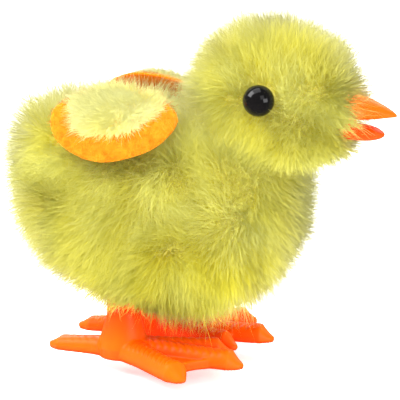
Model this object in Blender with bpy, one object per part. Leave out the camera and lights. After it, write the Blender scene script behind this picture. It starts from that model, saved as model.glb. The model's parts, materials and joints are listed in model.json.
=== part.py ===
"""Wind-up hopping chicken: plush body and ball head over a two-part plastic shell, felt wings, bead eyes,
an open beak, and a clockwork gearbox whose crank lifts and drops two toed feet.
Built in metres, +X towards the beak, +Y to the chicken's left, +Z up, origin on the ground under the middle of the whole object."""

import bmesh
import bpy
import numpy as np
from mathutils import Matrix, Vector

for old in list(bpy.data.objects):
    bpy.data.objects.remove(old, do_unlink=True)

MM = 0.001

# ---- driving dimensions, in millimetres ----
# Body over the pile: x station, top height, bottom height, half width.
BODY_STATIONS = (
    (-33.0, 42.0, 37.5, 1.5),
    (-32.0, 49.5, 30.5, 9.0),
    (-28.6, 54.0, 23.5, 15.5),
    (-22.4, 55.8, 17.2, 20.5),
    (-12.0, 56.0, 11.6, 24.0),
    (0.0, 55.2, 8.4, 25.0),
    (11.0, 53.5, 8.8, 24.0),
    (20.0, 52.0, 13.0, 20.8),
    (26.4, 49.5, 19.8, 15.0),
    (30.4, 46.0, 27.2, 8.5),
    (31.6, 40.5, 35.0, 1.5),
)
BODY_POWER = 2.25
HEAD_CENTRE = (23.4, 0.0, 55.2)
HEAD_HALF = (19.0, 16.7, 17.4)
HEAD_TILT = 0.214
HEAD_WALL = 5.5
SHELL_CENTRE = (-4.8, 0.0, 30.2)
SHELL_HALF = (23.5, 17.6, 15.9)
SHELL_WALL = 1.2
LEG_X, LEG_Y = -5.94, 9.14
LEG_OPENING = (9.0, 14.6)
CRANK = (-5.94, 20.0)
CRANK_THROW = 1.5
CRANK_TEETH, WHEEL_TEETH = 12, 39
PINION_TEETH, MAIN_TEETH = 10, 40
FINE_MODULE, COARSE_MODULE = 0.36, 0.45
MAIN = (3.5, 29.8)
CASE_HALF_DEPTH = 6.4
CASE_WALL = 1.0
SHAFT_R = 1.0
ARBOR_R = 1.5
AXLE_R = 0.8
KNOB_R = 5.5
KNOB_FACE_Y = 25.64
# The whole object is set so that the origin is under the middle of its bounding box.
FRAME_SHIFT_X = -7.8
# The soles are drawn at this height, and the whole object is then set down by as much to stand on z = 0.
SOLE_Z = 1.5
GUIDE_Z = 28.6
GUIDE_R = 0.9
EYE = (24.6, 15.0, 57.1)
EYE_R = 3.1
FOOT_SPLAY = 3.8
# Toes: direction from straight ahead (positive towards the centre line), reach, half width at the root and tip.
TOES = (
    ("rear", 180.0, 17.2, 3.0, 2.5),
    ("middle", 0.0, 26.7, 3.2, 2.5),
    ("outer", -36.4, 24.2, 3.2, 2.5),
    ("inner", 22.9, 22.4, 2.7, 1.9),
)
TOE_HEIGHT = 3.5
WEB_HEIGHT = 1.5


# ---- materials: one for each material the object is made of ----
def material(name, colour, roughness, metallic=0.0):
    mat = bpy.data.materials.new(name)
    mat.use_nodes = True
    shader = mat.node_tree.nodes["Principled BSDF"]
    shader.inputs["Base Color"].default_value = (*colour, 1.0)
    shader.inputs["Roughness"].default_value = roughness
    shader.inputs["Metallic"].default_value = metallic
    mat.diffuse_color = (*colour, 1.0)
    return mat


PLUSH = material("yellow_plush", (0.80, 0.76, 0.20), 0.95)
STUFFING = material("white_fibre_stuffing", (0.92, 0.92, 0.90), 0.95)
FELT = material("orange_felt", (0.95, 0.45, 0.06), 0.95)
BEAD = material("black_bead", (0.01, 0.01, 0.01), 0.08)
ORANGE = material("orange_plastic", (0.93, 0.24, 0.01), 0.35)
WASHER = material("clear_washer_plastic", (0.80, 0.80, 0.78), 0.40)
SHELL = material("yellow_shell_plastic", (0.85, 0.75, 0.25), 0.45)
CASE = material("white_case_plastic", (0.85, 0.85, 0.82), 0.45)
GEAR = material("white_gear_plastic", (0.90, 0.90, 0.88), 0.40)
KNOB = material("white_knob_plastic", (0.88, 0.88, 0.85), 0.35)
STEEL = material("steel", (0.56, 0.57, 0.58), 0.30, 1.0)
SPRING = material("blued_spring_steel", (0.30, 0.33, 0.38), 0.30, 1.0)


# ---- building helpers; every length handed to them is in millimetres ----
def add_object(name, bm, mat, origin=(0, 0, 0), smooth=False, helper=False):
    bmesh.ops.remove_doubles(bm, verts=bm.verts, dist=1e-5)
    bmesh.ops.recalc_face_normals(bm, faces=bm.faces)
    shift = Vector(origin)
    for v in bm.verts:
        v.co = (v.co - shift) * MM
    for f in bm.faces:
        f.smooth = smooth
    mesh = bpy.data.meshes.new(name)
    bm.to_mesh(mesh)
    bm.free()
    obj = bpy.data.objects.new(name, mesh)
    obj.location = shift * MM
    bpy.context.scene.collection.objects.link(obj)
    if mat is not None:
        mesh.materials.append(mat)
    if helper:
        obj.hide_render = True
        obj.display_type = "WIRE"
    return obj


def boolean(obj, cutter, operation="DIFFERENCE"):
    mod = obj.modifiers.new(operation.lower() + "_" + cutter.name, "BOOLEAN")
    mod.operation = operation
    mod.solver = "EXACT"
    mod.object = cutter
    cutter.hide_render = True
    cutter.display_type = "WIRE"


def skin_rings(rings, bm=None, close_ends=True):
    """A closed skin over a row of rings with equal numbers of points; a ring of one point is a pole."""
    bm = bm or bmesh.new()
    rows = [[bm.verts.new(Vector(p)) for p in ring] for ring in rings]
    for a, b in zip(rows, rows[1:]):
        n = max(len(a), len(b))
        for k in range(n):
            quad = [a[k % len(a)], a[(k + 1) % len(a)], b[(k + 1) % len(b)], b[k % len(b)]]
            corners = []
            for v in quad:
                if v not in corners:
                    corners.append(v)
            bm.faces.new(corners)
    if close_ends:
        for row in (rows[0], rows[-1]):
            if len(row) > 2:
                bm.faces.new(row)
    return bm


def lathe(profile, centre, sides, axis="Y", start=0.0):
    """A turned solid: profile is (along, radius) pairs; the axis runs through centre along axis."""
    rings = []
    for along, radius in profile:
        ring = []
        count = 1 if radius <= 0 else sides
        for k in range(count):
            a = start + 2 * np.pi * k / sides
            p, q = radius * np.cos(a), radius * np.sin(a)
            if axis == "Y":
                ring.append((centre[0] + p, centre[1] + along, centre[2] + q))
            elif axis == "X":
                ring.append((centre[0] + along, centre[1] + p, centre[2] + q))
            else:
                ring.append((centre[0] + p, centre[1] + q, centre[2] + along))
        rings.append(ring)
    return skin_rings(rings)


def tube(r_out, r_in, y0, y1, centre, sides):
    """A ring between two radii, along Y."""
    bm = bmesh.new()
    loops = []
    for y, r in ((y0, r_out), (y1, r_out), (y1, r_in), (y0, r_in)):
        loops.append(
            [
                bm.verts.new((centre[0] + r * np.cos(a), y, centre[1] + r * np.sin(a)))
                for a in 2 * np.pi * np.arange(sides) / sides
            ]
        )
    for j in range(4):
        a, b = loops[j], loops[(j + 1) % 4]
        for k in range(sides):
            bm.faces.new((a[k], a[(k + 1) % sides], b[(k + 1) % sides], b[k]))
    return bm


def plate(outline, holes, y0, y1):
    """A flat plate in the XZ plane between two Y values, with holes; triangles fill both faces."""
    bm = bmesh.new()
    for y in (y0, y1):
        edges = []
        for loop in (outline, *holes):
            verts = [bm.verts.new((p[0], y, p[1])) for p in loop]
            edges += [bm.edges.new((verts[k], verts[(k + 1) % len(verts)])) for k in range(len(verts))]
        bmesh.ops.triangle_fill(bm, use_beauty=True, edges=edges)
    bm.verts.ensure_lookup_table()
    total = len(outline) + sum(len(h) for h in holes)
    first = 0
    for loop in (outline, *holes):
        for k in range(len(loop)):
            a, b = first + k, first + (k + 1) % len(loop)
            bm.faces.new((bm.verts[a], bm.verts[b], bm.verts[b + total], bm.verts[a + total]))
        first += len(loop)
    return bm


def circle(centre, radius, sides, start=0.0):
    return [
        (centre[0] + radius * np.cos(start + a), centre[1] + radius * np.sin(start + a))
        for a in 2 * np.pi * np.arange(sides) / sides
    ]


def hull(points):
    """Convex outline of points in the plane, anticlockwise."""
    points = sorted(set((round(float(x), 4), round(float(z), 4)) for x, z in points))

    def chain(run):
        out = []
        for p in run:
            while len(out) > 1 and (out[-1][0] - out[-2][0]) * (p[1] - out[-2][1]) <= (
                out[-1][1] - out[-2][1]
            ) * (p[0] - out[-2][0]):
                out.pop()
            out.append(p)
        return out[:-1]

    return chain(points) + chain(points[::-1])


def gear_outline(centre, teeth, module, phase):
    """Trapezoid teeth with a little backlash, one tooth centred on phase."""
    pitch_r = teeth * module / 2
    root, tip = pitch_r - 1.2 * module, pitch_r + 0.8 * module
    step = 2 * np.pi / teeth
    out = []
    for k in range(teeth):
        a = phase + k * step
        for r, w in ((root, -0.30), (tip, -0.12), (tip, 0.12), (root, 0.30)):
            out.append((centre[0] + r * np.cos(a + w * step), centre[1] + r * np.sin(a + w * step)))
    return out


def box(x0, x1, y0, y1, z0, z1):
    bm = bmesh.new()
    lower = [(x0, y0, z0), (x1, y0, z0), (x1, y1, z0), (x0, y1, z0)]
    upper = [(x, y, z1) for x, y, _ in lower]
    return skin_rings([lower, upper], bm)


def smooth_stations(rows, t):
    """Points along the smooth curve through the rows, for t from 0 to 1."""
    rows = np.asarray(rows, float)
    n = len(rows) - 1
    s = np.clip(t, 0, 1) * n
    i = np.minimum(s.astype(int), n - 1)
    f = (s - i)[:, None]
    g = np.vstack([2 * rows[0] - rows[1], rows, 2 * rows[-1] - rows[-2]])
    a, b, c, d = g[i], g[i + 1], g[i + 2], g[i + 3]
    return 0.5 * (2 * b + (c - a) * f + (2 * a - 5 * b + 4 * c - d) * f**2 + (3 * b - a - 3 * c + d) * f**3)


def body_section(x):
    """Top height, bottom height and half width of the body at x."""
    rows = smooth_stations(BODY_STATIONS, np.linspace(0, 1, 1001))
    order = np.argsort(rows[:, 0])
    return [float(np.interp(x, rows[order, 0], rows[order, k])) for k in (1, 2, 3)]


def rounded(value, power):
    return np.sign(value) * np.abs(value) ** (2 / power)


def body_point(x, angle, grow=0.0):
    """A point of the body's surface: angle is 0 at its left, 90 degrees on top, 180 at its right."""
    top, bottom, half = body_section(x)
    return (
        x,
        (half + grow) * rounded(np.cos(angle), BODY_POWER),
        (top + bottom) / 2 + ((top - bottom) / 2 + grow) * rounded(np.sin(angle), BODY_POWER),
    )


def ellipsoid(centre, half, rows, sides, tilt=0.0, axis_up=True):
    """An ellipsoid turned about Y by tilt, nose down for a positive tilt."""
    rings = []
    c, s = np.cos(tilt), np.sin(tilt)
    for j in range(rows + 1):
        polar = np.pi * j / rows
        count = 1 if j in (0, rows) else sides
        ring = []
        for k in range(count):
            a = 2 * np.pi * k / sides
            x, y, z = half[0] * np.sin(polar) * np.cos(a), half[1] * np.sin(polar) * np.sin(a), half[2] * np.cos(polar)
            ring.append((centre[0] + c * x + s * z, centre[1] + y, centre[2] - s * x + c * z))
        rings.append(ring)
    return skin_rings(rings)


def leg_opening(name, grow, top):
    """The rounded slot under the body that both legs pass through."""
    rings = []
    for z in (-2.0, top):
        rings.append(
            [
                (
                    LEG_X + (LEG_OPENING[0] - 1.6 + grow) * rounded(np.cos(a), 3.0),
                    (LEG_OPENING[1] + grow) * rounded(np.sin(a), 3.0),
                    z,
                )
                for a in 2 * np.pi * np.arange(28) / 28
            ]
        )
    return add_object(name, skin_rings(rings), None, helper=True)


# ---- plush body: the pile's outer surface, hollow over the plastic shell, open under the legs ----
rings = []
for row in smooth_stations(BODY_STATIONS, np.linspace(0, 1, 21)):
    x, top, bottom, half = row
    rings.append(
        [
            (x, half * rounded(np.cos(a), BODY_POWER), (top + bottom) / 2 + (top - bottom) / 2 * rounded(np.sin(a), BODY_POWER))
            for a in 2 * np.pi * np.arange(26) / 26
        ]
    )
plush_body = add_object("plush_body", skin_rings(rings), PLUSH, smooth=True)
shell_space = add_object(
    "cut_shell_space",
    ellipsoid(SHELL_CENTRE, [h + 0.7 for h in SHELL_HALF], 10, 20),
    None,
    helper=True,
)
boolean(plush_body, shell_space)
boolean(plush_body, leg_opening("cut_plush_legs", 0.0, 26.0))
head_seat = add_object(
    "cut_head_seat", ellipsoid(HEAD_CENTRE, [h + 0.5 for h in HEAD_HALF], 14, 24, HEAD_TILT), None, helper=True
)
boolean(plush_body, head_seat)
knob_well = add_object(
    "cut_knob_well", lathe(((9.0, 2.4), (20.4, 2.4), (20.4, KNOB_R + 0.8), (32.0, KNOB_R + 0.8)), (MAIN[0], 0, MAIN[1]), 20), None, helper=True
)
boolean(plush_body, knob_well)

# ---- plush head: a ball of the same pile, hollow, with its neck open below ----
plush_head = add_object("plush_head", ellipsoid(HEAD_CENTRE, HEAD_HALF, 14, 24, HEAD_TILT), PLUSH, smooth=True)
head_space = add_object(
    "cut_head_space",
    ellipsoid(HEAD_CENTRE, [h - HEAD_WALL for h in HEAD_HALF], 8, 16, HEAD_TILT),
    None,
    helper=True,
)
boolean(plush_head, head_space)
neck = add_object("cut_neck", lathe(((30.0, 5.0), (46.0, 5.0)), (19.0, 0, 0), 20, axis="Z"), None, helper=True)
boolean(plush_head, neck)
for side, sign in (("right", -1), ("left", 1)):
    pocket = add_object(
        "cut_eye_pocket_" + side, ellipsoid((EYE[0], sign * EYE[1], EYE[2]), [EYE_R + 0.45] * 3, 8, 14), None, helper=True
    )
    boolean(plush_head, pocket)
    shank_hole = add_object(
        "cut_eye_hole_" + side,
        lathe(((sign * 8.0, 1.1), (sign * 14.0, 1.1)), (EYE[0], 0, EYE[2]), 12),
        None,
        helper=True,
    )
    boolean(plush_head, shank_hole)
BEAK_Z = 51.6
beak_pocket = add_object(
    "cut_beak_pocket",
    lathe(((30.0, 1.6), (37.2, 1.6), (37.2, 5.6), (46.0, 5.6)), (0, 0, BEAK_Z), 20, axis="X"),
    None,
    helper=True,
)
boolean(plush_head, beak_pocket)
head_stuffing = add_object(
    "head_stuffing",
    ellipsoid(HEAD_CENTRE, [h - HEAD_WALL - 3.4 for h in HEAD_HALF], 8, 14, HEAD_TILT),
    STUFFING,
    smooth=True,
)

# ---- eyes: a glossy bead with a shank through the pile, held by a washer inside the head ----
for side, sign in (("right", -1), ("left", 1)):
    profile = [(sign * (EYE[1] + EYE_R), 0.0)]
    for a in np.radians((20, 40, 60, 80, 100, 120, 140, 158)):
        profile.append((sign * (EYE[1] + EYE_R * np.cos(a)), EYE_R * np.sin(a)))
    profile += [(sign * (EYE[1] - EYE_R), 0.75), (sign * 8.5, 0.75), (sign * 8.2, 0.45), (sign * 8.2, 0.0)]
    add_object("eye_" + side, lathe(profile, (EYE[0], 0, EYE[2]), 16), BEAD, smooth=True)
    add_object(
        "eye_washer_" + side,
        tube(2.4, 0.85, min(sign * 9.4, sign * 8.8), max(sign * 9.4, sign * 8.8), (EYE[0], EYE[2]), 16),
        WASHER,
    )

# ---- beak: one moulding, two open mandibles on a round base, with a post and its washer ----


def mandible(stations, sides=12):
    rings = []
    for x, z, half_w, half_h in stations:
        rings.append(
            [
                (x, half_w * np.cos(a), z + half_h * np.sin(a) * (1.0 if half_h > 0 else 0.0))
                for a in 2 * np.pi * np.arange(sides) / sides
            ]
        )
    return skin_rings(rings)


beak = add_object(
    "beak",
    lathe(((34.2, 1.2), (38.0, 1.2), (38.0, 4.6), (39.0, 4.6), (39.8, 3.8)), (0, 0, BEAK_Z), 20, axis="X"),
    ORANGE,
    smooth=True,
)
upper = add_object(
    "join_upper_mandible",
    mandible(
        (
            (38.4, 54.1, 3.9, 2.7),
            (40.6, 54.1, 4.0, 2.55),
            (42.8, 53.9, 3.6, 2.2),
            (44.6, 53.7, 2.8, 1.75),
            (46.3, 53.5, 1.9, 1.15),
            (47.8, 53.3, 1.0, 0.62),
            (48.6, 53.1, 0.4, 0.25),
        )
    ),
    ORANGE,
    helper=True,
)
lower = add_object(
    "join_lower_mandible",
    mandible(
        (
            (38.4, 50.0, 3.7, 1.75),
            (40.8, 49.9, 3.6, 1.65),
            (43.0, 49.75, 3.0, 1.5),
            (44.6, 49.6, 2.2, 1.2),
            (45.6, 49.4, 1.4, 0.75),
            (46.2, 49.3, 0.5, 0.3),
        )
    ),
    ORANGE,
    helper=True,
)
boolean(beak, upper, "UNION")
boolean(beak, lower, "UNION")
bm = lathe(((0.0, 2.2), (0.6, 2.2)), (34.3, 0, BEAK_Z), 16, axis="X")
beak_washer = add_object("beak_washer", bm, WASHER)
washer_hole = add_object(
    "cut_beak_washer", lathe(((-1.0, 1.32), (2.0, 1.32)), (34.3, 0, BEAK_Z), 16, axis="X"), None, helper=True
)
boolean(beak_washer, washer_hole)


# ---- wings: an oval of felt sewn flat on the pile, with a smaller pad of pile on top ----
def wing_solid(sign, centre_x, half_x, centre_a, half_a, low, high, edge, sides, rows):
    """A pad that follows the body's side between two heights above it, rounded off at its edge."""

    def point(u, v, grow):
        angle = centre_a - half_a * v - 3.0 * u
        x, y, z = body_point(centre_x + half_x * u, np.radians(angle), grow)
        return (x, -sign * y, z)

    rings = []
    spread = np.linspace(0.0, 1.0, rows + 1)
    for r in spread:
        height = high - (high - low) * edge * max(0.0, (r - 0.7) / 0.3) ** 2
        rings.append(
            [point(0.0, 0.0, height)]
            if r == 0
            else [point(r * np.cos(a), r * np.sin(a), height) for a in 2 * np.pi * np.arange(sides) / sides]
        )
    for r in spread[::-1]:
        rings.append(
            [point(0.0, 0.0, low)]
            if r == 0
            else [point(r * np.cos(a), r * np.sin(a), low) for a in 2 * np.pi * np.arange(sides) / sides]
        )
    return skin_rings(rings)


for side, sign in (("right", -1), ("left", 1)):
    add_object(
        "wing_felt_" + side, wing_solid(sign, -5.5, 13.1, 126.0, 26.0, 0.45, 1.75, 0.25, 24, 4), FELT, smooth=True
    )
    add_object(
        "wing_fur_" + side, wing_solid(sign, -4.8, 9.2, 121.0, 19.0, 2.1, 4.9, 0.7, 22, 4), PLUSH, smooth=True
    )

# ---- body shell: two plastic halves screwed together around the movement, open below ----
for side, sign in (("right", -1), ("left", 1)):
    shell = add_object("body_shell_" + side, ellipsoid(SHELL_CENTRE, SHELL_HALF, 10, 20), SHELL, smooth=True)
    inside = add_object(
        "cut_shell_inside_" + side, ellipsoid(SHELL_CENTRE, [h - SHELL_WALL for h in SHELL_HALF], 10, 20), None, helper=True
    )
    boolean(shell, inside)
    half = add_object(
        "cut_shell_half_" + side,
        box(-40, 40, *sorted((sign * 0.15, sign * -40)), -5, 60),
        None,
        helper=True,
    )
    boolean(shell, half)
    boolean(shell, leg_opening("cut_shell_legs_" + side, 0.2, 23.0))
    if side == "left":
        port = add_object(
            "cut_arbor_port", lathe(((12.0, 2.0), (20.0, 2.0)), (MAIN[0], 0, MAIN[1]), 16), None, helper=True
        )
        boolean(shell, port)

# Shell screws sit in bosses at the rear and the front of the right half.
for name, x, z, reach in (("rear", -22.4, 30.5, 8.0), ("front", 16.1, 30.0, 3.5)):
    boss = add_object("join_boss_" + name, lathe(((-reach, 1.9), (-0.15, 1.9)), (x, 0, z), 14), SHELL, helper=True)
    boolean(bpy.data.objects["body_shell_right"], boss, "UNION")
    stud = add_object("join_stud_" + name, lathe(((0.15, 1.9), (reach, 1.9)), (x, 0, z), 14), SHELL, helper=True)
    boolean(bpy.data.objects["body_shell_left"], stud, "UNION")
    hole = add_object(
        "cut_boss_" + name,
        lathe(((-30.0, 1.45), (-3.2, 1.45), (-3.2, 0.75), (5.0, 0.75)), (x, 0, z), 14),
        None,
        helper=True,
    )
    boolean(bpy.data.objects["body_shell_right"], hole)
    boolean(bpy.data.objects["body_shell_left"], hole)
    add_object(
        "shell_screw_" + name,
        lathe(((-4.6, 0.0), (-4.6, 1.3), (-3.7, 1.35), (-3.3, 0.62), (2.8, 0.62), (3.3, 0.0)), (x, 0, z), 14),
        STEEL,
        smooth=False,
    )


# ---- gearbox: two case halves round the gear train ----
def meeting_point(a, b, from_a, from_b):
    """The point at two given distances from a and b, on the rear side of the line between them."""
    ab = np.subtract(b, a)
    length = np.hypot(*ab)
    along = (from_a**2 - from_b**2 + length**2) / (2 * length)
    off = np.sqrt(from_a**2 - along**2)
    u = ab / length
    return tuple(np.array(a) + along * u + off * np.array((-u[1], u[0])))


MIDDLE = meeting_point(
    CRANK, MAIN, (CRANK_TEETH + WHEEL_TEETH) * FINE_MODULE / 2, (PINION_TEETH + MAIN_TEETH) * COARSE_MODULE / 2
)
LOWER_SCREW = (-0.2, 19.3)
UPPER_SCREW = (-3.6, 38.4)
spots = ((CRANK, 4.6), (MIDDLE, 8.7), (MAIN, 10.7), (LOWER_SCREW, 1.9), (UPPER_SCREW, 2.1))
outer_outline = hull([p for c, r in spots for p in circle(c, r, 18)])
inner_outline = hull([p for c, r in spots for p in circle(c, r - CASE_WALL, 18)])
for side, sign in (("right", -1), ("left", 1)):
    y_out, y_in = sign * CASE_HALF_DEPTH, sign * 0.1
    case = add_object("gearbox_case_" + side, plate(outer_outline, (), min(y_out, y_in), max(y_out, y_in)), CASE)
    cavity = add_object(
        "cut_case_cavity_" + side,
        plate(inner_outline, (), *sorted((sign * (CASE_HALF_DEPTH - CASE_WALL), -sign * 1.0))),
        None,
        helper=True,
    )
    boolean(case, cavity)
    for name, spot in (("lower", LOWER_SCREW), ("upper", UPPER_SCREW)):
        post = add_object(
            "join_case_post_" + name + "_" + side,
            lathe(((y_in, 1.5), (sign * (CASE_HALF_DEPTH - 0.5), 1.5)), (spot[0], 0, spot[1]), 12),
            CASE,
            helper=True,
        )
        boolean(case, post, "UNION")
    guide = add_object(
        "join_guide_post_" + side,
        lathe(((sign * (CASE_HALF_DEPTH - 0.5), GUIDE_R), (sign * 11.6, GUIDE_R)), (LEG_X, 0, GUIDE_Z), 14),
        CASE,
        helper=True,
    )
    boolean(case, guide, "UNION")
    holes = [("crank", CRANK, SHAFT_R + 0.09), ("middle", MIDDLE, AXLE_R + 0.09), ("main", MAIN, ARBOR_R + 0.1)]
    for name, spot, r in holes:
        hole = add_object(
            "cut_case_" + name + "_" + side,
            lathe(((sign * 4.0, r), (sign * 8.0, r)), (spot[0], 0, spot[1]), 20),
            None,
            helper=True,
        )
        boolean(case, hole)
for name, spot in (("lower", LOWER_SCREW), ("upper", UPPER_SCREW)):
    hole = add_object(
        "cut_case_screw_" + name, lathe(((-9.0, 0.75), (4.6, 0.75)), (spot[0], 0, spot[1]), 12), None, helper=True
    )
    boolean(bpy.data.objects["gearbox_case_right"], hole)
    boolean(bpy.data.objects["gearbox_case_left"], hole)
    add_object(
        "case_screw_" + name,
        lathe(((-7.2, 0.0), (-7.2, 1.1), (-6.9, 1.5), (-6.5, 1.5), (-6.5, 0.62), (3.6, 0.62), (4.2, 0.0)), (spot[0], 0, spot[1]), 12),
        STEEL,
    )


# ---- gear train ----
def towards(a, b):
    return np.arctan2(b[1] - a[1], b[0] - a[0])


# A tooth of each wheel points into a gap of its partner along the line of centres.
crank_to_middle = towards(CRANK, MIDDLE)
middle_to_crank = towards(MIDDLE, CRANK)
middle_to_main = towards(MIDDLE, MAIN)
main_to_middle = towards(MAIN, MIDDLE)

add_object("crank_shaft", lathe(((-8.2, SHAFT_R), (8.2, SHAFT_R)), (CRANK[0], 0, CRANK[1]), 20), STEEL, (CRANK[0], 0, CRANK[1]))
add_object(
    "crank_pinion",
    plate(
        gear_outline(CRANK, CRANK_TEETH, FINE_MODULE, crank_to_middle + np.pi / CRANK_TEETH),
        (circle(CRANK, SHAFT_R + 0.04, 20),),
        -5.25,
        -3.3,
    ),
    GEAR,
    (CRANK[0], 0, CRANK[1]),
)
for side, sign in (("right", -1), ("left", 1)):
    disc = add_object(
        "crank_disc_" + side,
        tube(4.0, SHAFT_R + 0.04, *sorted((sign * 7.1, sign * 8.7)), CRANK, 20),
        GEAR,
        (CRANK[0], 0, CRANK[1]),
    )
    pin_z = CRANK[1] + CRANK_THROW
    pin = add_object(
        "join_crank_pin_" + side,
        lathe(((sign * 8.4, 1.3), (sign * 11.3, 1.3)), (CRANK[0], 0, pin_z), 20),
        GEAR,
        helper=True,
    )
    boolean(disc, pin, "UNION")
    hole = add_object(
        "cut_crank_pin_" + side,
        lathe(((sign * 8.9, 0.62), (sign * 12.0, 0.62)), (CRANK[0], 0, pin_z), 12),
        None,
        helper=True,
    )
    boolean(disc, hole)
    head = add_object(
        "leg_screw_" + side,
        lathe(
            ((sign * 12.4, 0.0), (sign * 12.4, 1.6), (sign * 12.0, 2.2), (sign * 11.4, 2.2), (sign * 11.4, 0.55), (sign * 9.2, 0.55), (sign * 9.2, 0.0)),
            (CRANK[0], 0, pin_z),
            14,
        ),
        STEEL,
        (CRANK[0], 0, CRANK[1]),
    )
    for k, (wide, tall) in enumerate(((1.3, 0.25), (0.25, 1.3))):
        slot = add_object(
            "cut_leg_screw_%s_%d" % (side, k),
            box(CRANK[0] - wide, CRANK[0] + wide, *sorted((sign * 11.95, sign * 13.0)), pin_z - tall, pin_z + tall),
            None,
            helper=True,
        )
        boolean(head, slot)

middle_origin = (MIDDLE[0], 0, MIDDLE[1])
add_object(
    "intermediate_axle", lathe(((-6.3, AXLE_R), (6.3, AXLE_R)), middle_origin, 16), STEEL, middle_origin
)
intermediate = add_object(
    "intermediate_gear",
    plate(gear_outline(MIDDLE, WHEEL_TEETH, FINE_MODULE, middle_to_crank), (circle(MIDDLE, AXLE_R + 0.04, 16),), -5.1, -3.9),
    GEAR,
    middle_origin,
)
small = add_object(
    "join_intermediate_pinion",
    plate(
        gear_outline(MIDDLE, PINION_TEETH, COARSE_MODULE, middle_to_main + np.pi / PINION_TEETH),
        (circle(MIDDLE, AXLE_R + 0.04, 16),),
        -4.2,
        -1.7,
    ),
    GEAR,
    helper=True,
)
boolean(intermediate, small, "UNION")

main_origin = (MAIN[0], 0, MAIN[1])
add_object(
    "main_gear",
    plate(
        gear_outline(MAIN, MAIN_TEETH, COARSE_MODULE, main_to_middle),
        (circle(MAIN, ARBOR_R + 0.09, 20),),
        -3.1,
        -1.9,
    ),
    GEAR,
    main_origin,
)
# The click is a curved arm on the face of the main gear; the ratchet turns inside it.
click = []
for k in range(9):
    a = np.radians(20 + 12 * k)
    click.append((MAIN[0] + (5.6 - 0.12 * k) * np.cos(a), MAIN[1] + (5.6 - 0.12 * k) * np.sin(a)))
for k in range(8, -1, -1):
    a = np.radians(20 + 12 * k)
    click.append((MAIN[0] + (4.9 - 0.1 * k) * np.cos(a), MAIN[1] + (4.9 - 0.1 * k) * np.sin(a)))
add_object("ratchet_click", plate(click, (), -1.85, -1.05), STEEL, main_origin)
ratchet = []
for k in range(10):
    a = 2 * np.pi * k / 10
    ratchet.append((MAIN[0] + 3.0 * np.cos(a), MAIN[1] + 3.0 * np.sin(a)))
    ratchet.append((MAIN[0] + 3.8 * np.cos(a + 0.05), MAIN[1] + 3.8 * np.sin(a + 0.05)))
add_object("ratchet_disc", plate(ratchet, (circle(MAIN, ARBOR_R + 0.04, 20),), -1.8, -0.9), GEAR, main_origin)
add_object(
    "winding_arbor", lathe(((-6.3, ARBOR_R), (23.8, ARBOR_R)), main_origin, 20), STEEL, main_origin
)

# ---- mainspring: a flat strip coiled round the arbor, clear of it ----
rings = []
turns, steps = 5, 14
for k in range(turns * steps + 1):
    a = 2 * np.pi * k / steps
    r = 2.2 + 6.0 * k / (turns * steps)
    inner = (MAIN[0] + r * np.cos(a), MAIN[1] + r * np.sin(a))
    outer = (MAIN[0] + (r + 0.3) * np.cos(a), MAIN[1] + (r + 0.3) * np.sin(a))
    rings.append([(inner[0], 0.2, inner[1]), (outer[0], 0.2, outer[1]), (outer[0], 4.6, outer[1]), (inner[0], 4.6, inner[1])])
add_object("mainspring", skin_rings(rings), SPRING, main_origin)

# ---- winding knob: a fluted disc on a hub, pressed on the arbor's end ----
rings = []
for y, r, depth in ((20.9, 2.4, 0.0), (21.9, 2.4, 0.0), (21.9, KNOB_R - 0.5, 0.15), (22.4, KNOB_R, 0.38), (KNOB_FACE_Y - 0.6, KNOB_R, 0.38), (KNOB_FACE_Y, KNOB_R - 0.6, 0.2)):
    rings.append(
        [
            (MAIN[0] + (r - depth * (1 + np.cos(12 * a))) * np.cos(a), y, MAIN[1] + (r - depth * (1 + np.cos(12 * a))) * np.sin(a))
            for a in 2 * np.pi * np.arange(36) / 36
        ]
    )
knob = add_object("winding_knob", skin_rings(rings), KNOB, main_origin)
bore = add_object("cut_knob_bore", lathe(((20.0, ARBOR_R + 0.05), (24.1, ARBOR_R + 0.05)), main_origin, 20), None, helper=True)
boolean(knob, bore)


# ---- feet: four toes with webs, a leg column, and a drive plate with crank hole and guide slot ----
def toe_solid(place, angle, reach, root, tip):
    rings = []
    bend = reach - tip
    stations = list(np.linspace(-1.0, bend, 5)) + [bend + tip * q for q in (0.4, 0.7, 0.9, 0.99)]
    for s in stations:
        w = root + (tip - root) * max(0.0, s) / bend if s <= bend else tip
        end = 1.0 if s <= bend else np.sqrt(1 - ((s - bend) / tip) ** 2)
        w *= end
        h = (TOE_HEIGHT + 0.7 * (1 - max(0.0, s) / reach)) * (0.5 + 0.5 * end)
        under = 1.2 * (1 - end)  # the underside slopes up to the toe's tip
        across = ((-0.8, 0.0), (0.8, 0.0), (1.0, 0.4), (0.78, 0.82), (0.3, 1.0), (-0.3, 1.0), (-0.78, 0.82), (-1.0, 0.4))
        rings.append(
            [
                place(s * np.cos(angle) - w * c * np.sin(angle), s * np.sin(angle) + w * c * np.cos(angle), under + (h - under) * t)
                for c, t in across
            ]
        )
    return skin_rings(rings)


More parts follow.
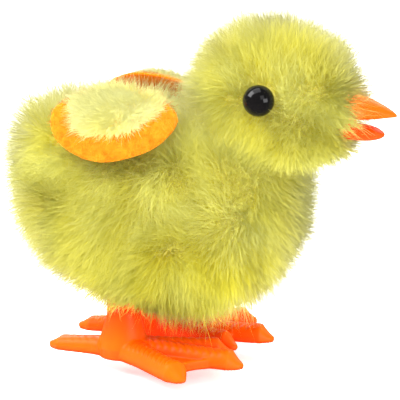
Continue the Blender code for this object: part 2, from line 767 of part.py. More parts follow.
for side, sign in (("right", -1), ("left", 1)):

    def place(u, v, z):
        return (LEG_X + u, sign * (LEG_Y - v), SOLE_Z + z)

    pin_z = CRANK[1] + CRANK_THROW
    column = lathe(
        ((SOLE_Z, 4.9), (3.7, 5.2), (5.4, 4.75), (7.4, 4.2), (9.4, 3.75), (11.3, 3.2), (12.4, 2.0), (12.7, 0.0)),
        (LEG_X, sign * LEG_Y, 0.0),
        18,
        axis="Z",
    )
    foot = add_object("foot_" + side, column, ORANGE, (LEG_X, 0, pin_z))
    for name, direction, reach, root, tip in TOES:
        angle = np.radians(direction - FOOT_SPLAY)
        toe = add_object("join_toe_%s_%s" % (name, side), toe_solid(place, angle, reach, root, tip), ORANGE, helper=True)
        boolean(foot, toe, "UNION")
    # Webs fill the forks between the three front toes to about two thirds of their length.
    web = [(0.0, -3.0)]
    for (direction, reach), dip in zip(((-36.4, 24.2), (0.0, 26.7), (22.9, 22.4)), (0.50, 0.50, None)):
        a = np.radians(direction - FOOT_SPLAY)
        web.append((0.74 * reach * np.cos(a), 0.74 * reach * np.sin(a)))
        if dip:
            middle = a + np.radians(36.4 if direction < -1 else 22.9) / 2
            web.append((0.66 * reach * np.cos(middle), 0.66 * reach * np.sin(middle)))
    web.append((0.0, 3.0))
    lower = [place(u, v, 0.0) for u, v in web]
    upper = [place(u, v, WEB_HEIGHT) for u, v in web]
    sheet = add_object("join_web_" + side, skin_rings([lower, upper]), ORANGE, helper=True)
    boolean(foot, sheet, "UNION")
    outline = [(-3.0, 8.0), (3.0, 8.0), (3.0, 23.0), (4.2, 26.0), (4.2, 32.6)]
    outline += [(4.2 * np.cos(a), 32.6 + 2.0 * np.sin(a)) for a in np.radians((30, 60, 90, 120, 150))]
    outline += [(-4.2, 32.6), (-4.2, 26.0), (-3.0, 23.0)]
    outline = [(LEG_X + x, z) for x, z in outline]
    slot_w, slot_low, slot_high = 2.7, GUIDE_Z - 1.2, GUIDE_Z + 2 * CRANK_THROW + 1.2
    slot = [(LEG_X + slot_w * np.cos(a), slot_high - 1.3 + 1.3 * np.sin(a)) for a in np.radians((0, 45, 90, 135, 180))]
    slot += [(LEG_X + slot_w * np.cos(a), slot_low + 1.3 + 1.3 * np.sin(a)) for a in np.radians((180, 225, 270, 315, 360))]
    drive = add_object(
        "join_drive_plate_" + side,
        plate(outline, (circle((LEG_X, pin_z), 1.4, 20), slot), *sorted((sign * 9.2, sign * 10.8))),
        ORANGE,
        helper=True,
    )
    boolean(foot, drive, "UNION")

# ---- the whole object moves so that it stands on z = 0 and the origin lies under the middle of its bounding box ----
for obj in bpy.data.objects:
    obj.location.x += FRAME_SHIFT_X * MM
    obj.location.z -= SOLE_Z * MM
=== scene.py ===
"""Looks for the wind-up hopping chicken: pile, felt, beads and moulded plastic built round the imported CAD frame.
Lengths below are in millimetres and become metres when a mesh is made. +X is towards the beak, +Z up."""

import json

import bmesh
import bpy
import numpy as np
from mathutils import Matrix, Vector, kdtree


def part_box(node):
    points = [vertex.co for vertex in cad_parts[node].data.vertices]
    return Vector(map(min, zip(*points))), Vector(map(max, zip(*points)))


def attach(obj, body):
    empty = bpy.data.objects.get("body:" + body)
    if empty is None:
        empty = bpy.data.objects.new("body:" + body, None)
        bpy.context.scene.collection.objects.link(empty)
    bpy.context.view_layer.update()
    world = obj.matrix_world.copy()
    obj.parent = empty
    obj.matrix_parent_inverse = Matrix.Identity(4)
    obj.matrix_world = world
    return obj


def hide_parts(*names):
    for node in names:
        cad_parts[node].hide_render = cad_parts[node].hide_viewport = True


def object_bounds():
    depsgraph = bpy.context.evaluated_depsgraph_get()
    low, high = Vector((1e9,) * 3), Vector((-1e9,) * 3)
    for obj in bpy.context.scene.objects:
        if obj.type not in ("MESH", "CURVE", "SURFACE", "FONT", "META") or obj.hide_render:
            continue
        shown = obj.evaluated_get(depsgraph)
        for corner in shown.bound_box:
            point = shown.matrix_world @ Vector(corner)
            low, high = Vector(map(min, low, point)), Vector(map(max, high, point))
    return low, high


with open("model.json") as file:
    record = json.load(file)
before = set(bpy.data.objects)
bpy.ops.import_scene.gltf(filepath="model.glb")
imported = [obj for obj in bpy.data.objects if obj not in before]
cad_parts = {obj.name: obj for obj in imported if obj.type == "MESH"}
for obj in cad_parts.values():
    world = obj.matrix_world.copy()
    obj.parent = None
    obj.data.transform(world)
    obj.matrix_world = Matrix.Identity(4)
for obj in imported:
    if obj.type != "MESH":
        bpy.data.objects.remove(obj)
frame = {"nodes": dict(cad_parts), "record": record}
CAD_BOUNDS = [[float(v) for v in corner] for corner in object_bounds()]
MM = 0.001
rng = np.random.default_rng(20)


# ---------------------------------------------------------------- places, most read from the frame
def box(node):
    low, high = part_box(node)
    return np.array(low, float) / MM, np.array(high, float) / MM


body_low, body_high = box("plush_body")
head_low, head_high = box("plush_head")
joint_at = {j["name"]: np.array(j.get("pos_m", (0, 0, 0)), float) / MM for j in frame["record"]["behaviour"]["joints"]}
X0 = body_low[0] + 33.0  # the station the body's outline is counted from
Z0 = joint_at["crank_spin"][2] - 20.0  # heights below are counted from here, as the crank is 20 above it
HEAD_C = (head_low + head_high) / 2
HEAD_C[1] = 0.0
LEG_X = joint_at["crank_spin"][0]
PIN_Z = joint_at["foot_right_hop"][2]
LEG_Y = 9.14
KNOB_X, KNOB_Z = joint_at["knob_wind"][0], joint_at["knob_wind"][2]
beak_low, beak_high = box("beak")
BEAK_Z = 51.6 + Z0

# Body outline over the tips of the pile: x from the station, top, bottom, half width.
BODY_STATIONS = np.array(
    (
        (-33.0, 42.0, 37.5, 1.5),
        (-32.0, 49.5, 30.5, 9.0),
        (-28.6, 54.0, 23.5, 15.5),
        (-22.4, 55.8, 17.2, 20.5),
        (-12.0, 56.0, 11.6, 24.0),
        (0.0, 55.2, 8.4, 25.0),
        (11.0, 53.5, 8.8, 24.0),
        (20.0, 52.0, 13.0, 20.8),
        (26.4, 49.5, 19.8, 15.0),
        (30.4, 46.0, 27.2, 8.5),
        (31.6, 40.5, 35.0, 1.5),
    )
)
BODY_POWER = 2.25
HEAD_HALF = np.array((19.0, 16.7, 17.4))
HEAD_TILT = 0.214
BODY_PILE = 5.4
HEAD_PILE = 4.8


# ---------------------------------------------------------------- numeric helpers
def spline(rows, t):
    n = len(rows) - 1
    s = np.clip(t, 0, 1) * n
    i = np.minimum(s.astype(int), n - 1)
    f = (s - i)[:, None]
    g = np.vstack([2 * rows[0] - rows[1], rows, 2 * rows[-1] - rows[-2]])
    a, b, c, d = g[i], g[i + 1], g[i + 2], g[i + 3]
    return 0.5 * (2 * b + (c - a) * f + (2 * a - 5 * b + 4 * c - d) * f**2 + (3 * b - a - 3 * c + d) * f**3)


def rounded(v, power):
    return np.sign(v) * np.abs(v) ** (2 / power)


def unit(v):
    return v / np.maximum(np.linalg.norm(v, axis=-1, keepdims=True), 1e-9)


def waves(points, length, seed, parts=3, count=14):
    """Smooth noise: a sum of plane waves of about this wavelength, one value per part."""
    r = np.random.default_rng(seed)
    k = unit(r.normal(size=(count, 3))) * (2 * np.pi / length) * r.uniform(0.6, 1.5, (count, 1))
    s = np.sin(points @ k.T + r.uniform(0, 2 * np.pi, count))
    return s @ (r.normal(size=(count, parts)) / np.sqrt(count) * 1.2)


BODY_STATIONS[:, 1:3] += Z0
fine = spline(BODY_STATIONS, np.linspace(0, 1, 3001))
fine = fine[np.argsort(fine[:, 0])]


def body_section(x):
    return [np.interp(x, fine[:, 0], fine[:, k]) for k in (1, 2, 3)]


def body_point(x, angle, grow=0.0):
    """x is counted from the station; angle is 0 on the left side, 90 degrees on top, 180 on the right."""
    top, bottom, half = body_section(x)
    return np.stack(
        [
            x + X0,
            (half + grow) * rounded(np.cos(angle), BODY_POWER),
            (top + bottom) / 2 + ((top - bottom) / 2 + grow) * rounded(np.sin(angle), BODY_POWER),
        ],
        -1,
    )


def body_grid(rows, sides):
    t = 0.5 - 0.5 * np.cos(np.linspace(0.0, np.pi, rows))
    stations = spline(BODY_STATIONS, t)
    a = np.linspace(0, 2 * np.pi, sides + 1)[None, :]
    x, top, bottom, half = (stations[:, k : k + 1] for k in range(4))
    return np.stack(
        [
            x + X0 + 0 * a,
            half * rounded(np.cos(a), BODY_POWER),
            (top + bottom) / 2 + (top - bottom) / 2 * rounded(np.sin(a), BODY_POWER),
        ],
        -1,
    )


def head_grid(rows, sides, shrink=0.0):
    """The head's ball; its rows run from the front pole to the back pole."""
    p = np.linspace(0.0, np.pi, rows)[:, None]
    a = np.linspace(0, 2 * np.pi, sides + 1)[None, :]
    h = HEAD_HALF - shrink
    x, y, z = h[0] * np.cos(p) + 0 * a, h[1] * np.sin(p) * np.cos(a), h[2] * np.sin(p) * np.sin(a)
    c, s = np.cos(HEAD_TILT), np.sin(HEAD_TILT)
    return np.stack([HEAD_C[0] + c * x + s * z, y, HEAD_C[2] - s * x + c * z], -1)


def grid_normals(grid, centre):
    du = np.gradient(grid, axis=0)
    dv = np.gradient(grid, axis=1)
    dv[:, 0] = dv[:, -1] = (grid[:, 1] - grid[:, -2]) / 2
    n = unit(np.cross(du, dv))
    if (np.sum(n * (grid - centre), -1)).mean() < 0:
        n = -n
    for row, near in ((0, 1), (-1, -2)):
        n[row] = unit(n[near].mean(axis=0))[None]
    return n


def scatter(grid, normals, per_mm2, seed):
    """Points spread evenly over a grid's faces, with their normals."""
    r = np.random.default_rng(seed)
    a, b, c, d = grid[:-1, :-1], grid[1:, :-1], grid[1:, 1:], grid[:-1, 1:]
    area = (np.linalg.norm(np.cross(b - a, c - a), axis=-1) + np.linalg.norm(np.cross(c - a, d - a), axis=-1)) / 2
    total = np.cumsum(area.ravel())
    count = int(total[-1] * per_mm2)
    at = (np.arange(count) + r.uniform(0, 1, count)) / count * total[-1]
    cell = np.searchsorted(total, at).clip(0, area.size - 1)
    i, j = np.unravel_index(cell, area.shape)
    u, v = r.uniform(size=(2, count, 1))

    def mix(values):
        return (
            values[i, j] * (1 - u) * (1 - v) + values[i + 1, j] * u * (1 - v) + values[i + 1, j + 1] * u * v + values[i, j + 1] * (1 - u) * v
        )

    return mix(grid), unit(mix(normals))


# ---------------------------------------------------------------- mesh helpers
def link(mesh, name, mat, smooth=True):
    obj = bpy.data.objects.new(name, mesh)
    bpy.context.scene.collection.objects.link(obj)
    if mat is not None:
        mesh.materials.append(mat)
    if smooth:
        mesh.polygons.foreach_set("use_smooth", np.ones(len(mesh.polygons), bool))
    return obj


def mesh_of(name, verts, faces, mat, smooth=True):
    mesh = bpy.data.meshes.new(name)
    mesh.from_pydata((np.asarray(verts) * MM).tolist(), [], faces)
    mesh.validate()
    bm = bmesh.new()
    bm.from_mesh(mesh)
    bmesh.ops.remove_doubles(bm, verts=bm.verts, dist=1e-7)
    bmesh.ops.recalc_face_normals(bm, faces=bm.faces)
    bm.to_mesh(mesh)
    bm.free()
    return link(mesh, name, mat, smooth)


def rings_mesh(name, rings, mat, smooth=True):
    """A closed skin over rings of equal length; a ring of one point is a pole."""
    verts, rows = [], []
    for ring in rings:
        ring = np.atleast_2d(ring)
        rows.append(list(range(len(verts), len(verts) + len(ring))))
        verts.extend(ring.tolist())
    faces = []
    for a, b in zip(rows, rows[1:]):
        n = max(len(a), len(b))
        for k in range(n):
            corner = []
            for v in (a[k % len(a)], a[(k + 1) % len(a)], b[(k + 1) % len(b)], b[k % len(b)]):
                if v not in corner:
                    corner.append(v)
            if len(corner) > 2:
                faces.append(corner)
    for row in (rows[0], rows[-1]):
        if len(row) > 2:
            faces.append(row)
    return mesh_of(name, verts, faces, mat, smooth)


def ribbons(name, root, points, across, shade, u, mat):
    """One flat tapered strand per row: points is N x 4 x 3 along it, across its half-width vectors.
    shade holds the direction each point is lit from, and u each strand's place between the pile's darker and lighter
    colours, which carries painted shade where the caller puts it there."""
    n = len(points)
    verts = np.empty((n, 7, 3))
    for k in range(3):
        verts[:, 2 * k] = points[:, k] - across[:, k]
        verts[:, 2 * k + 1] = points[:, k] + across[:, k]
    verts[:, 6] = points[:, 3]
    base = 7 * np.arange(n)[:, None]
    loops = base + np.array((0, 1, 3, 2, 2, 3, 5, 4, 4, 5, 6))[None]
    mesh = bpy.data.meshes.new(name)
    mesh.vertices.add(7 * n)
    mesh.vertices.foreach_set("co", (verts * MM).astype(np.float32).ravel())
    mesh.loops.add(11 * n)
    mesh.loops.foreach_set("vertex_index", loops.astype(np.int32).ravel())
    mesh.polygons.add(3 * n)
    starts = 11 * np.arange(n)[:, None] + np.array((0, 4, 8))[None]
    mesh.polygons.foreach_set("loop_start", starts.astype(np.int32).ravel())
    mesh.polygons.foreach_set("loop_total", np.tile(np.array((4, 4, 3), np.int32), n))
    mesh.update(calc_edges=True)
    uv = mesh.uv_layers.new(name="OFBake")
    rows = np.array((0.02, 0.02, 0.4, 0.4, 0.4, 0.4, 0.75, 0.75, 0.75, 0.75, 0.98))
    coords = np.empty((n, 11, 2), np.float32)
    coords[..., 0] = np.clip(u, 0.01, 0.99)[:, None] + np.array((-1, 1, 1, -1, -1, 1, 1, -1, -1, 1, 0))[None] * 0.004
    coords[..., 1] = rows[None]
    uv.data.foreach_set("uv", coords.ravel())
    lit = mesh.attributes.new("lit_from", "FLOAT_VECTOR", "POINT")
    values = np.repeat(shade, 7, axis=0) if shade.ndim == 2 else shade
    lit.data.foreach_set("vector", values.astype(np.float32).ravel())
    return link(mesh, name, mat, smooth=True)


def make_pile(names, root, normal, comb, length, lean, width, mat, seed, clump=0.3, tuft=2.2, wild=0.22, crimp=0.2, split=None, tone_and_painted_shade=None, soft=0.35, airy=True, below=0.4):
    """Strands of pile. They rise from root along normal, lean over along comb, gather into tufts, cross and crimp."""
    r = np.random.default_rng(seed)
    n = len(root)
    comb = unit(comb - normal * np.sum(comb * normal, -1, keepdims=True))
    lean = np.broadcast_to(lean, n) + r.normal(0, 0.12, n)
    out = np.cos(lean)[:, None]
    over = np.sin(lean)[:, None]
    stray = r.normal(0, wild, (n, 3))
    t = np.array((0.0, 0.38, 0.74, 1.0))[None, :, None]
    ln = length[:, None, None]
    rise = normal[:, None] * (out[:, None] * (1.12 * t - 0.12 * t**2))
    fall = comb[:, None] * (over[:, None] * (0.55 * t + 0.45 * t**2))
    points = root[:, None] + ln * (rise + fall + stray[:, None] * (0.35 * t + 0.65 * t**2))
    if clump > 0:
        r2 = np.random.default_rng(seed + 1)
        count = max(8, int(n / (r2.uniform(0.9, 1.1) * 10.0 * tuft**2)))
        chosen = r2.choice(n, count, replace=False)
        tree = kdtree.KDTree(count)
        for k, p in enumerate(root[chosen]):
            tree.insert(p, k)
        tree.balance()
        nearest = np.array([tree.find(p)[1] for p in root])
        leader = points[chosen][nearest]
        pull = clump * r.uniform(0.0, 1.0, n)[:, None, None] * t**1.5
        points = points + (leader - points) * pull
    points += crimp * r.normal(size=points.shape) * np.array((0.0, 1.0, 1.0, 0.8))[None, :, None]
    facing = unit(r.normal(size=(n, 3)))
    along = unit(points[:, 3] - points[:, 0])
    across = unit(np.cross(along, facing))
    w = width * r.uniform(0.7, 1.3, n)
    across = across[:, None] * (w[:, None] * np.array((0.5, 0.46, 0.32))[None])[..., None]
    # Light scatters round inside the pile, so the sides that face down are lit nearly like the upright ones.
    even = normal * np.where(normal[:, 2:] < 0, (1.0, 1.0, below), (1.0, 1.0, 1.0))
    shade = unit(even + soft * r.normal(size=(n, 3)) + 0.08 * along)
    if tone_and_painted_shade is None:
        tone_and_painted_shade = 0.5 + 0.13 * waves(root, 9.0, 3, 1)[:, 0] + 0.07 * r.normal(size=n)
    made = []
    groups = split if split is not None else np.zeros(n, int)
    for k, name in enumerate(names):
        pick = groups == k
        if pick.any():
            made.append(ribbons(name, root[pick], points[pick], across[pick], shade[pick], tone_and_painted_shade[pick], mat))
            made[-1].visible_shadow = not airy
    return made


# ---------------------------------------------------------------- materials
def new_material(name):
    mat = bpy.data.materials.new(name)
    mat.use_nodes = True
    mat.node_tree.nodes.clear()
    return mat, mat.node_tree.nodes, mat.node_tree.links


def ramp_node(nodes, stops):
    node = nodes.new("ShaderNodeValToRGB")
    while len(node.color_ramp.elements) < len(stops):
        node.color_ramp.elements.new(0.5)
    for element, (at, colour) in zip(node.color_ramp.elements, stops):
        element.position = at
        element.color = (*colour, 1.0)
    return node


def pile_material(name, low, high, through=0.3, rim=0.0):
    """low and high are the root-to-tip colours of the darkest and the lightest strands; rim is how far the colour is
    mixed towards a painted pale sheen where the strands turn edge-on to the view.
    """
    mat, nodes, links = new_material(name)
    uv = nodes.new("ShaderNodeUVMap")
    uv.uv_map = "OFBake"
    parts = nodes.new("ShaderNodeSeparateXYZ")
    links.new(uv.outputs["UV"], parts.inputs[0])
    dark, light = ramp_node(nodes, low), ramp_node(nodes, high)
    links.new(parts.outputs["Y"], dark.inputs[0])
    links.new(parts.outputs["Y"], light.inputs[0])
    mix = nodes.new("ShaderNodeMix")
    mix.data_type = "RGBA"
    links.new(parts.outputs["X"], mix.inputs["Factor"])
    links.new(dark.outputs[0], mix.inputs[6])
    links.new(light.outputs[0], mix.inputs[7])
    lit = nodes.new("ShaderNodeAttribute")
    lit.attribute_name = "lit_from"
    # Painted sheen: where the lit_from direction turns edge-on to the view, towards the outline, the colour is mixed
    # towards a pale cream, as if light glanced off the fibres.
    facing = nodes.new("ShaderNodeLayerWeight")
    facing.inputs["Blend"].default_value = 0.5
    links.new(lit.outputs["Vector"], facing.inputs["Normal"])
    amount = nodes.new("ShaderNodeMapRange")
    amount.inputs["From Min"].default_value = 0.35
    amount.inputs["From Max"].default_value = 1.0
    amount.inputs["To Min"].default_value = 0.0
    amount.inputs["To Max"].default_value = rim
    links.new(facing.outputs["Facing"], amount.inputs["Value"])
    pale = nodes.new("ShaderNodeMix")
    pale.data_type = "RGBA"
    pale.inputs[7].default_value = (0.99, 0.985, 0.75, 1.0)
    links.new(amount.outputs["Result"], pale.inputs["Factor"])
    links.new(mix.outputs[2], pale.inputs[6])
    diffuse = nodes.new("ShaderNodeBsdfDiffuse")
    glow = nodes.new("ShaderNodeBsdfTranslucent")
    for shader in (diffuse, glow):
        links.new(pale.outputs[2], shader.inputs["Color"])
        links.new(lit.outputs["Vector"], shader.inputs["Normal"])
    both = nodes.new("ShaderNodeMixShader")
    both.inputs[0].default_value = through
    links.new(diffuse.outputs[0], both.inputs[1])
    links.new(glow.outputs[0], both.inputs[2])
    out = nodes.new("ShaderNodeOutputMaterial")
    links.new(both.outputs[0], out.inputs["Surface"])
    return mat


def solid_material(
    name, dark, light, scale, roughness, metallic=0.0, bump=0.0, bump_scale=None, detail=4.0, coat=0.0, subsurface=0.0, stretch=(1, 1, 1), sheen=0.0
):
    """A moulded, turned or woven surface: noise runs between two colours, and finer noise raises its grain."""
    mat, nodes, links = new_material(name)
    where = nodes.new("ShaderNodeTexCoord")
    place = nodes.new("ShaderNodeMapping")
    place.inputs["Scale"].default_value = stretch
    links.new(where.outputs["Object"], place.inputs["Vector"])
    noise = nodes.new("ShaderNodeTexNoise")
    noise.inputs["Scale"].default_value = scale
    noise.inputs["Detail"].default_value = detail
    links.new(place.outputs[0], noise.inputs["Vector"])
    colours = ramp_node(nodes, ((0.32, dark), (0.68, light)))
    links.new(noise.outputs["Fac"], colours.inputs[0])
    shader = nodes.new("ShaderNodeBsdfPrincipled")
    links.new(colours.outputs[0], shader.inputs["Base Color"])
    shader.inputs["Roughness"].default_value = roughness
    shader.inputs["Metallic"].default_value = metallic
    shader.inputs["Coat Weight"].default_value = coat
    shader.inputs["Coat Roughness"].default_value = 0.08
    shader.inputs["Sheen Weight"].default_value = sheen
    if subsurface:
        shader.inputs["Subsurface Weight"].default_value = subsurface
        shader.inputs["Subsurface Radius"].default_value = (1.0, 0.35, 0.08)
        shader.inputs["Subsurface Scale"].default_value = 0.0012
    if bump:
        grain = nodes.new("ShaderNodeTexNoise")
        grain.inputs["Scale"].default_value = bump_scale or scale * 6
        grain.inputs["Detail"].default_value = 6.0
        links.new(place.outputs[0], grain.inputs["Vector"])
        raised = nodes.new("ShaderNodeBump")
        raised.inputs["Strength"].default_value = 1.0
        raised.inputs["Distance"].default_value = bump
        links.new(grain.outputs["Fac"], raised.inputs["Height"])
        links.new(raised.outputs[0], shader.inputs["Normal"])
    out = nodes.new("ShaderNodeOutputMaterial")
    links.new(shader.outputs[0], out.inputs["Surface"])
    return mat


PILE = pile_material(
    "yellow_pile",
    ((0.0, (0.86, 0.70, 0.03)), (0.45, (0.92, 0.83, 0.06)), (1.0, (0.93, 0.87, 0.10))),
    ((0.0, (0.91, 0.85, 0.08)), (0.45, (0.97, 0.96, 0.22)), (1.0, (0.99, 0.99, 0.44))),
    0.4,
    # strength of the painted pale sheen towards the outline
    0.55,
)
WING_PILE = pile_material(
    "pale_wing_pile",
    ((0.0, (0.93, 0.80, 0.14)), (0.4, (0.96, 0.91, 0.26)), (1.0, (0.98, 0.95, 0.38))),
    ((0.0, (0.96, 0.88, 0.20)), (0.4, (0.98, 0.96, 0.38)), (1.0, (0.99, 0.99, 0.60))),
    0.4,
)
FUZZ = pile_material(
    "orange_felt_fuzz",
    ((0.0, (0.80, 0.085, 0.002)), (0.5, (0.83, 0.10, 0.003)), (1.0, (0.86, 0.13, 0.006))),
    ((0.0, (0.92, 0.21, 0.01)), (0.5, (0.94, 0.27, 0.015)), (1.0, (0.96, 0.35, 0.03))),
)


def paint_deeper_shade(mat, colour, reach, share):
    """Painted shade: where the moulding closes in on itself (ambient occlusion within reach) and in a band of heights,
    its colour turns to this deeper one.
    """
    nodes, links = mat.node_tree.nodes, mat.node_tree.links
    body = nodes["Principled BSDF"]
    old = body.inputs["Base Color"].links[0].from_socket
    near = nodes.new("ShaderNodeAmbientOcclusion")
    near.samples = 8
    near.inputs["Distance"].default_value = reach * MM
    amount = nodes.new("ShaderNodeMapRange")
    amount.inputs["From Min"].default_value = 0.10
    amount.inputs["From Max"].default_value = 0.80
    amount.inputs["To Min"].default_value = share
    amount.inputs["To Max"].default_value = 0.0
    links.new(near.outputs["AO"], amount.inputs["Value"])
    # Painted shade by height: the legs turn deeper towards the body above them, and the lower mandible, under the upper
    # one, is deeper than the upper one.
    spot = nodes.new("ShaderNodeTexCoord")
    split = nodes.new("ShaderNodeSeparateXYZ")
    links.new(spot.outputs["Object"], split.inputs[0])
    height = nodes.new("ShaderNodeMapRange")
    height.inputs["From Min"].default_value = Z0 * MM
    height.inputs["From Max"].default_value = (Z0 + 60.0) * MM
    links.new(split.outputs["Z"], height.inputs["Value"])
    height_shade = ramp_node(nodes, [(z / 60.0, (v, v, v)) for z, v in ((4.5, 0.0), (8.0, 0.5), (12.0, 0.85), (30.0, 0.7), (50.6, 0.55), (52.0, 0.0))])
    links.new(height.outputs["Result"], height_shade.inputs[0])
    most = nodes.new("ShaderNodeMath")
    most.operation = "MAXIMUM"
    links.new(amount.outputs["Result"], most.inputs[0])
    links.new(height_shade.outputs[0], most.inputs[1])
    mix = nodes.new("ShaderNodeMix")
    mix.data_type = "RGBA"
    mix.inputs[7].default_value = (*colour, 1.0)
    links.new(most.outputs[0], mix.inputs["Factor"])
    links.new(old, mix.inputs[6])
    links.new(mix.outputs[2], body.inputs["Base Color"])


BACKING = solid_material("yellow_backing_knit", (0.55, 0.46, 0.05), (0.74, 0.66, 0.12), 900.0, 0.95, bump=0.0002, sheen=0.3)
FELT = solid_material("orange_felt", (0.90, 0.20, 0.008), (0.95, 0.28, 0.015), 650.0, 1.0, bump=0.00025, bump_scale=2600.0, detail=8.0, subsurface=0.5)
FELT.node_tree.nodes["Principled BSDF"].inputs["Specular IOR Level"].default_value = 0.05
ORANGE = solid_material(
    "orange_moulded_plastic", (0.87, 0.108, 0.001), (0.91, 0.132, 0.0015), 90.0, 0.36, bump=0.00003, bump_scale=900.0, subsurface=0.15
)
# Painted shade on the orange moulding: deeper red-orange in its crevices, on the legs under the body and on the lower
# mandible.
paint_deeper_shade(ORANGE, (0.80, 0.022, 0.0), 22.0, 0.95)
ORANGE.node_tree.nodes["Principled BSDF"].inputs["Specular IOR Level"].default_value = 0.10
BEAD = solid_material("black_bead_gloss", (0.003, 0.003, 0.003), (0.007, 0.006, 0.006), 200.0, 0.09)
BEAD.node_tree.nodes["Principled BSDF"].inputs["Specular IOR Level"].default_value = 0.22
FILLING = solid_material("white_fibre_filling", (0.80, 0.80, 0.77), (0.93, 0.93, 0.90), 500.0, 0.95, bump=0.0006, bump_scale=700.0)
KNOB = solid_material("white_knob_plastic", (0.30, 0.295, 0.275), (0.36, 0.355, 0.335), 120.0, 0.36, bump=0.00003)
PLAIN = {
    "yellow_shell_plastic": solid_material("yellow_shell_moulding", (0.78, 0.66, 0.16), (0.88, 0.78, 0.28), 110.0, 0.45),
    "white_case_plastic": solid_material("white_case_moulding", (0.78, 0.78, 0.74), (0.88, 0.88, 0.85), 110.0, 0.45),
    "white_gear_plastic": solid_material("white_gear_moulding", (0.82, 0.82, 0.79), (0.93, 0.93, 0.91), 160.0, 0.4),
    "clear_washer_plastic": solid_material("milky_washer_moulding", (0.72, 0.72, 0.70), (0.85, 0.85, 0.82), 160.0, 0.4),
    "steel": solid_material("turned_steel", (0.46, 0.47, 0.48), (0.62, 0.63, 0.64), 700.0, 0.3, metallic=1.0, stretch=(1, 0.15, 1)),
    "blued_spring_steel": solid_material("blued_spring", (0.20, 0.23, 0.30), (0.38, 0.41, 0.46), 500.0, 0.3, metallic=1.0, stretch=(1, 0.2, 1)),
}
slot_of = {s["node"]: s["material_slot"] for s in frame["record"]["subparts"]}
for node, obj in frame["nodes"].items():
    if slot_of[node] in PLAIN:
        obj.data.materials.clear()
        obj.data.materials.append(PLAIN[slot_of[node]])


def belongs(objects, body, slot, *nodes):
    for obj in objects if isinstance(objects, (list, tuple)) else [objects]:
        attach(obj, body)
        if nodes:
            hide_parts(*nodes)


# ---------------------------------------------------------------- body pile
body_surface = body_grid(150, 160)
body_centre = np.array((X0 - 1.0, 0.0, 32.0 + Z0))
body_normals = grid_normals(body_surface, body_centre)
backing_grid = body_surface - BODY_PILE * body_normals


def inside_head(p, grow):
    c, s = np.cos(HEAD_TILT), np.sin(HEAD_TILT)
    q = p - HEAD_C
    x, z = c * q[..., 0] - s * q[..., 2], s * q[..., 0] + c * q[..., 2]
    h = HEAD_HALF + grow
    return (x / h[0]) ** 2 + (q[..., 1] / h[1]) ** 2 + (z / h[2]) ** 2 < 1


def in_leg_slot(p, grow):
    return (np.abs((p[..., 0] - LEG_X) / (7.4 + grow)) ** 3 + np.abs(p[..., 1] / (14.6 + grow)) ** 3 < 1) & (p[..., 2] < 26 + Z0)


def in_knob_well(p, r):
    return ((p[..., 0] - KNOB_X) ** 2 + (p[..., 2] - KNOB_Z) ** 2 < r**2) & (p[..., 1] > 0)


def in_wing(p, grow=0.0):
    """How far inside a wing's felt oval a body point lies: below 1 is inside."""
    top, bottom, half = body_section(p[..., 0] - X0)
    angle = np.degrees(
        np.arctan2(
            np.sign(p[..., 2] - (top + bottom) / 2) * np.abs((p[..., 2] - (top + bottom) / 2) / (top - bottom) * 2) ** (BODY_POWER / 2),
            np.abs(p[..., 1] / half) ** (BODY_POWER / 2),
        )
    )
    u = (p[..., 0] - X0 + 5.5) / (13.1 + grow)
    v = ((180.0 - 126.0 + 3.0 * u) - angle) / (26.0 + grow * 2.2)
    return u**2 + v**2


def grid_mesh(name, grid, keep, mat):
    rows, cols = grid.shape[:2]
    index = np.arange(rows * cols).reshape(rows, cols)
    faces = np.stack([index[:-1, :-1], index[:-1, 1:], index[1:, 1:], index[1:, :-1]], -1).reshape(-1, 4)
    centre = grid.reshape(-1, 3)[faces].mean(1)
    faces = faces[keep(centre)]
    used, inverse = np.unique(faces, return_inverse=True)
    return mesh_of(name, grid.reshape(-1, 3)[used], inverse.reshape(-1, 4).tolist(), mat)


def thicken(obj, mm):
    solid = obj.modifiers.new("cloth_thickness", "SOLIDIFY")
    solid.thickness = mm * MM
    solid.offset = -1.0


backing = grid_mesh(
    "body_backing_cloth",
    backing_grid[::2, ::2],
    lambda c: ~inside_head(c, -4.5) & ~in_leg_slot(c, 0.0) & ~in_knob_well(c, 6.0),
    BACKING,
)
thicken(backing, 0.7)
belongs(backing, "body", "yellow_plush", "plush_body")

# The pile lies back and down, in soft swirls, and parts round one spot low on each flank.
spot = np.array((X0 + 7.0, 24.0, 25.0 + Z0))


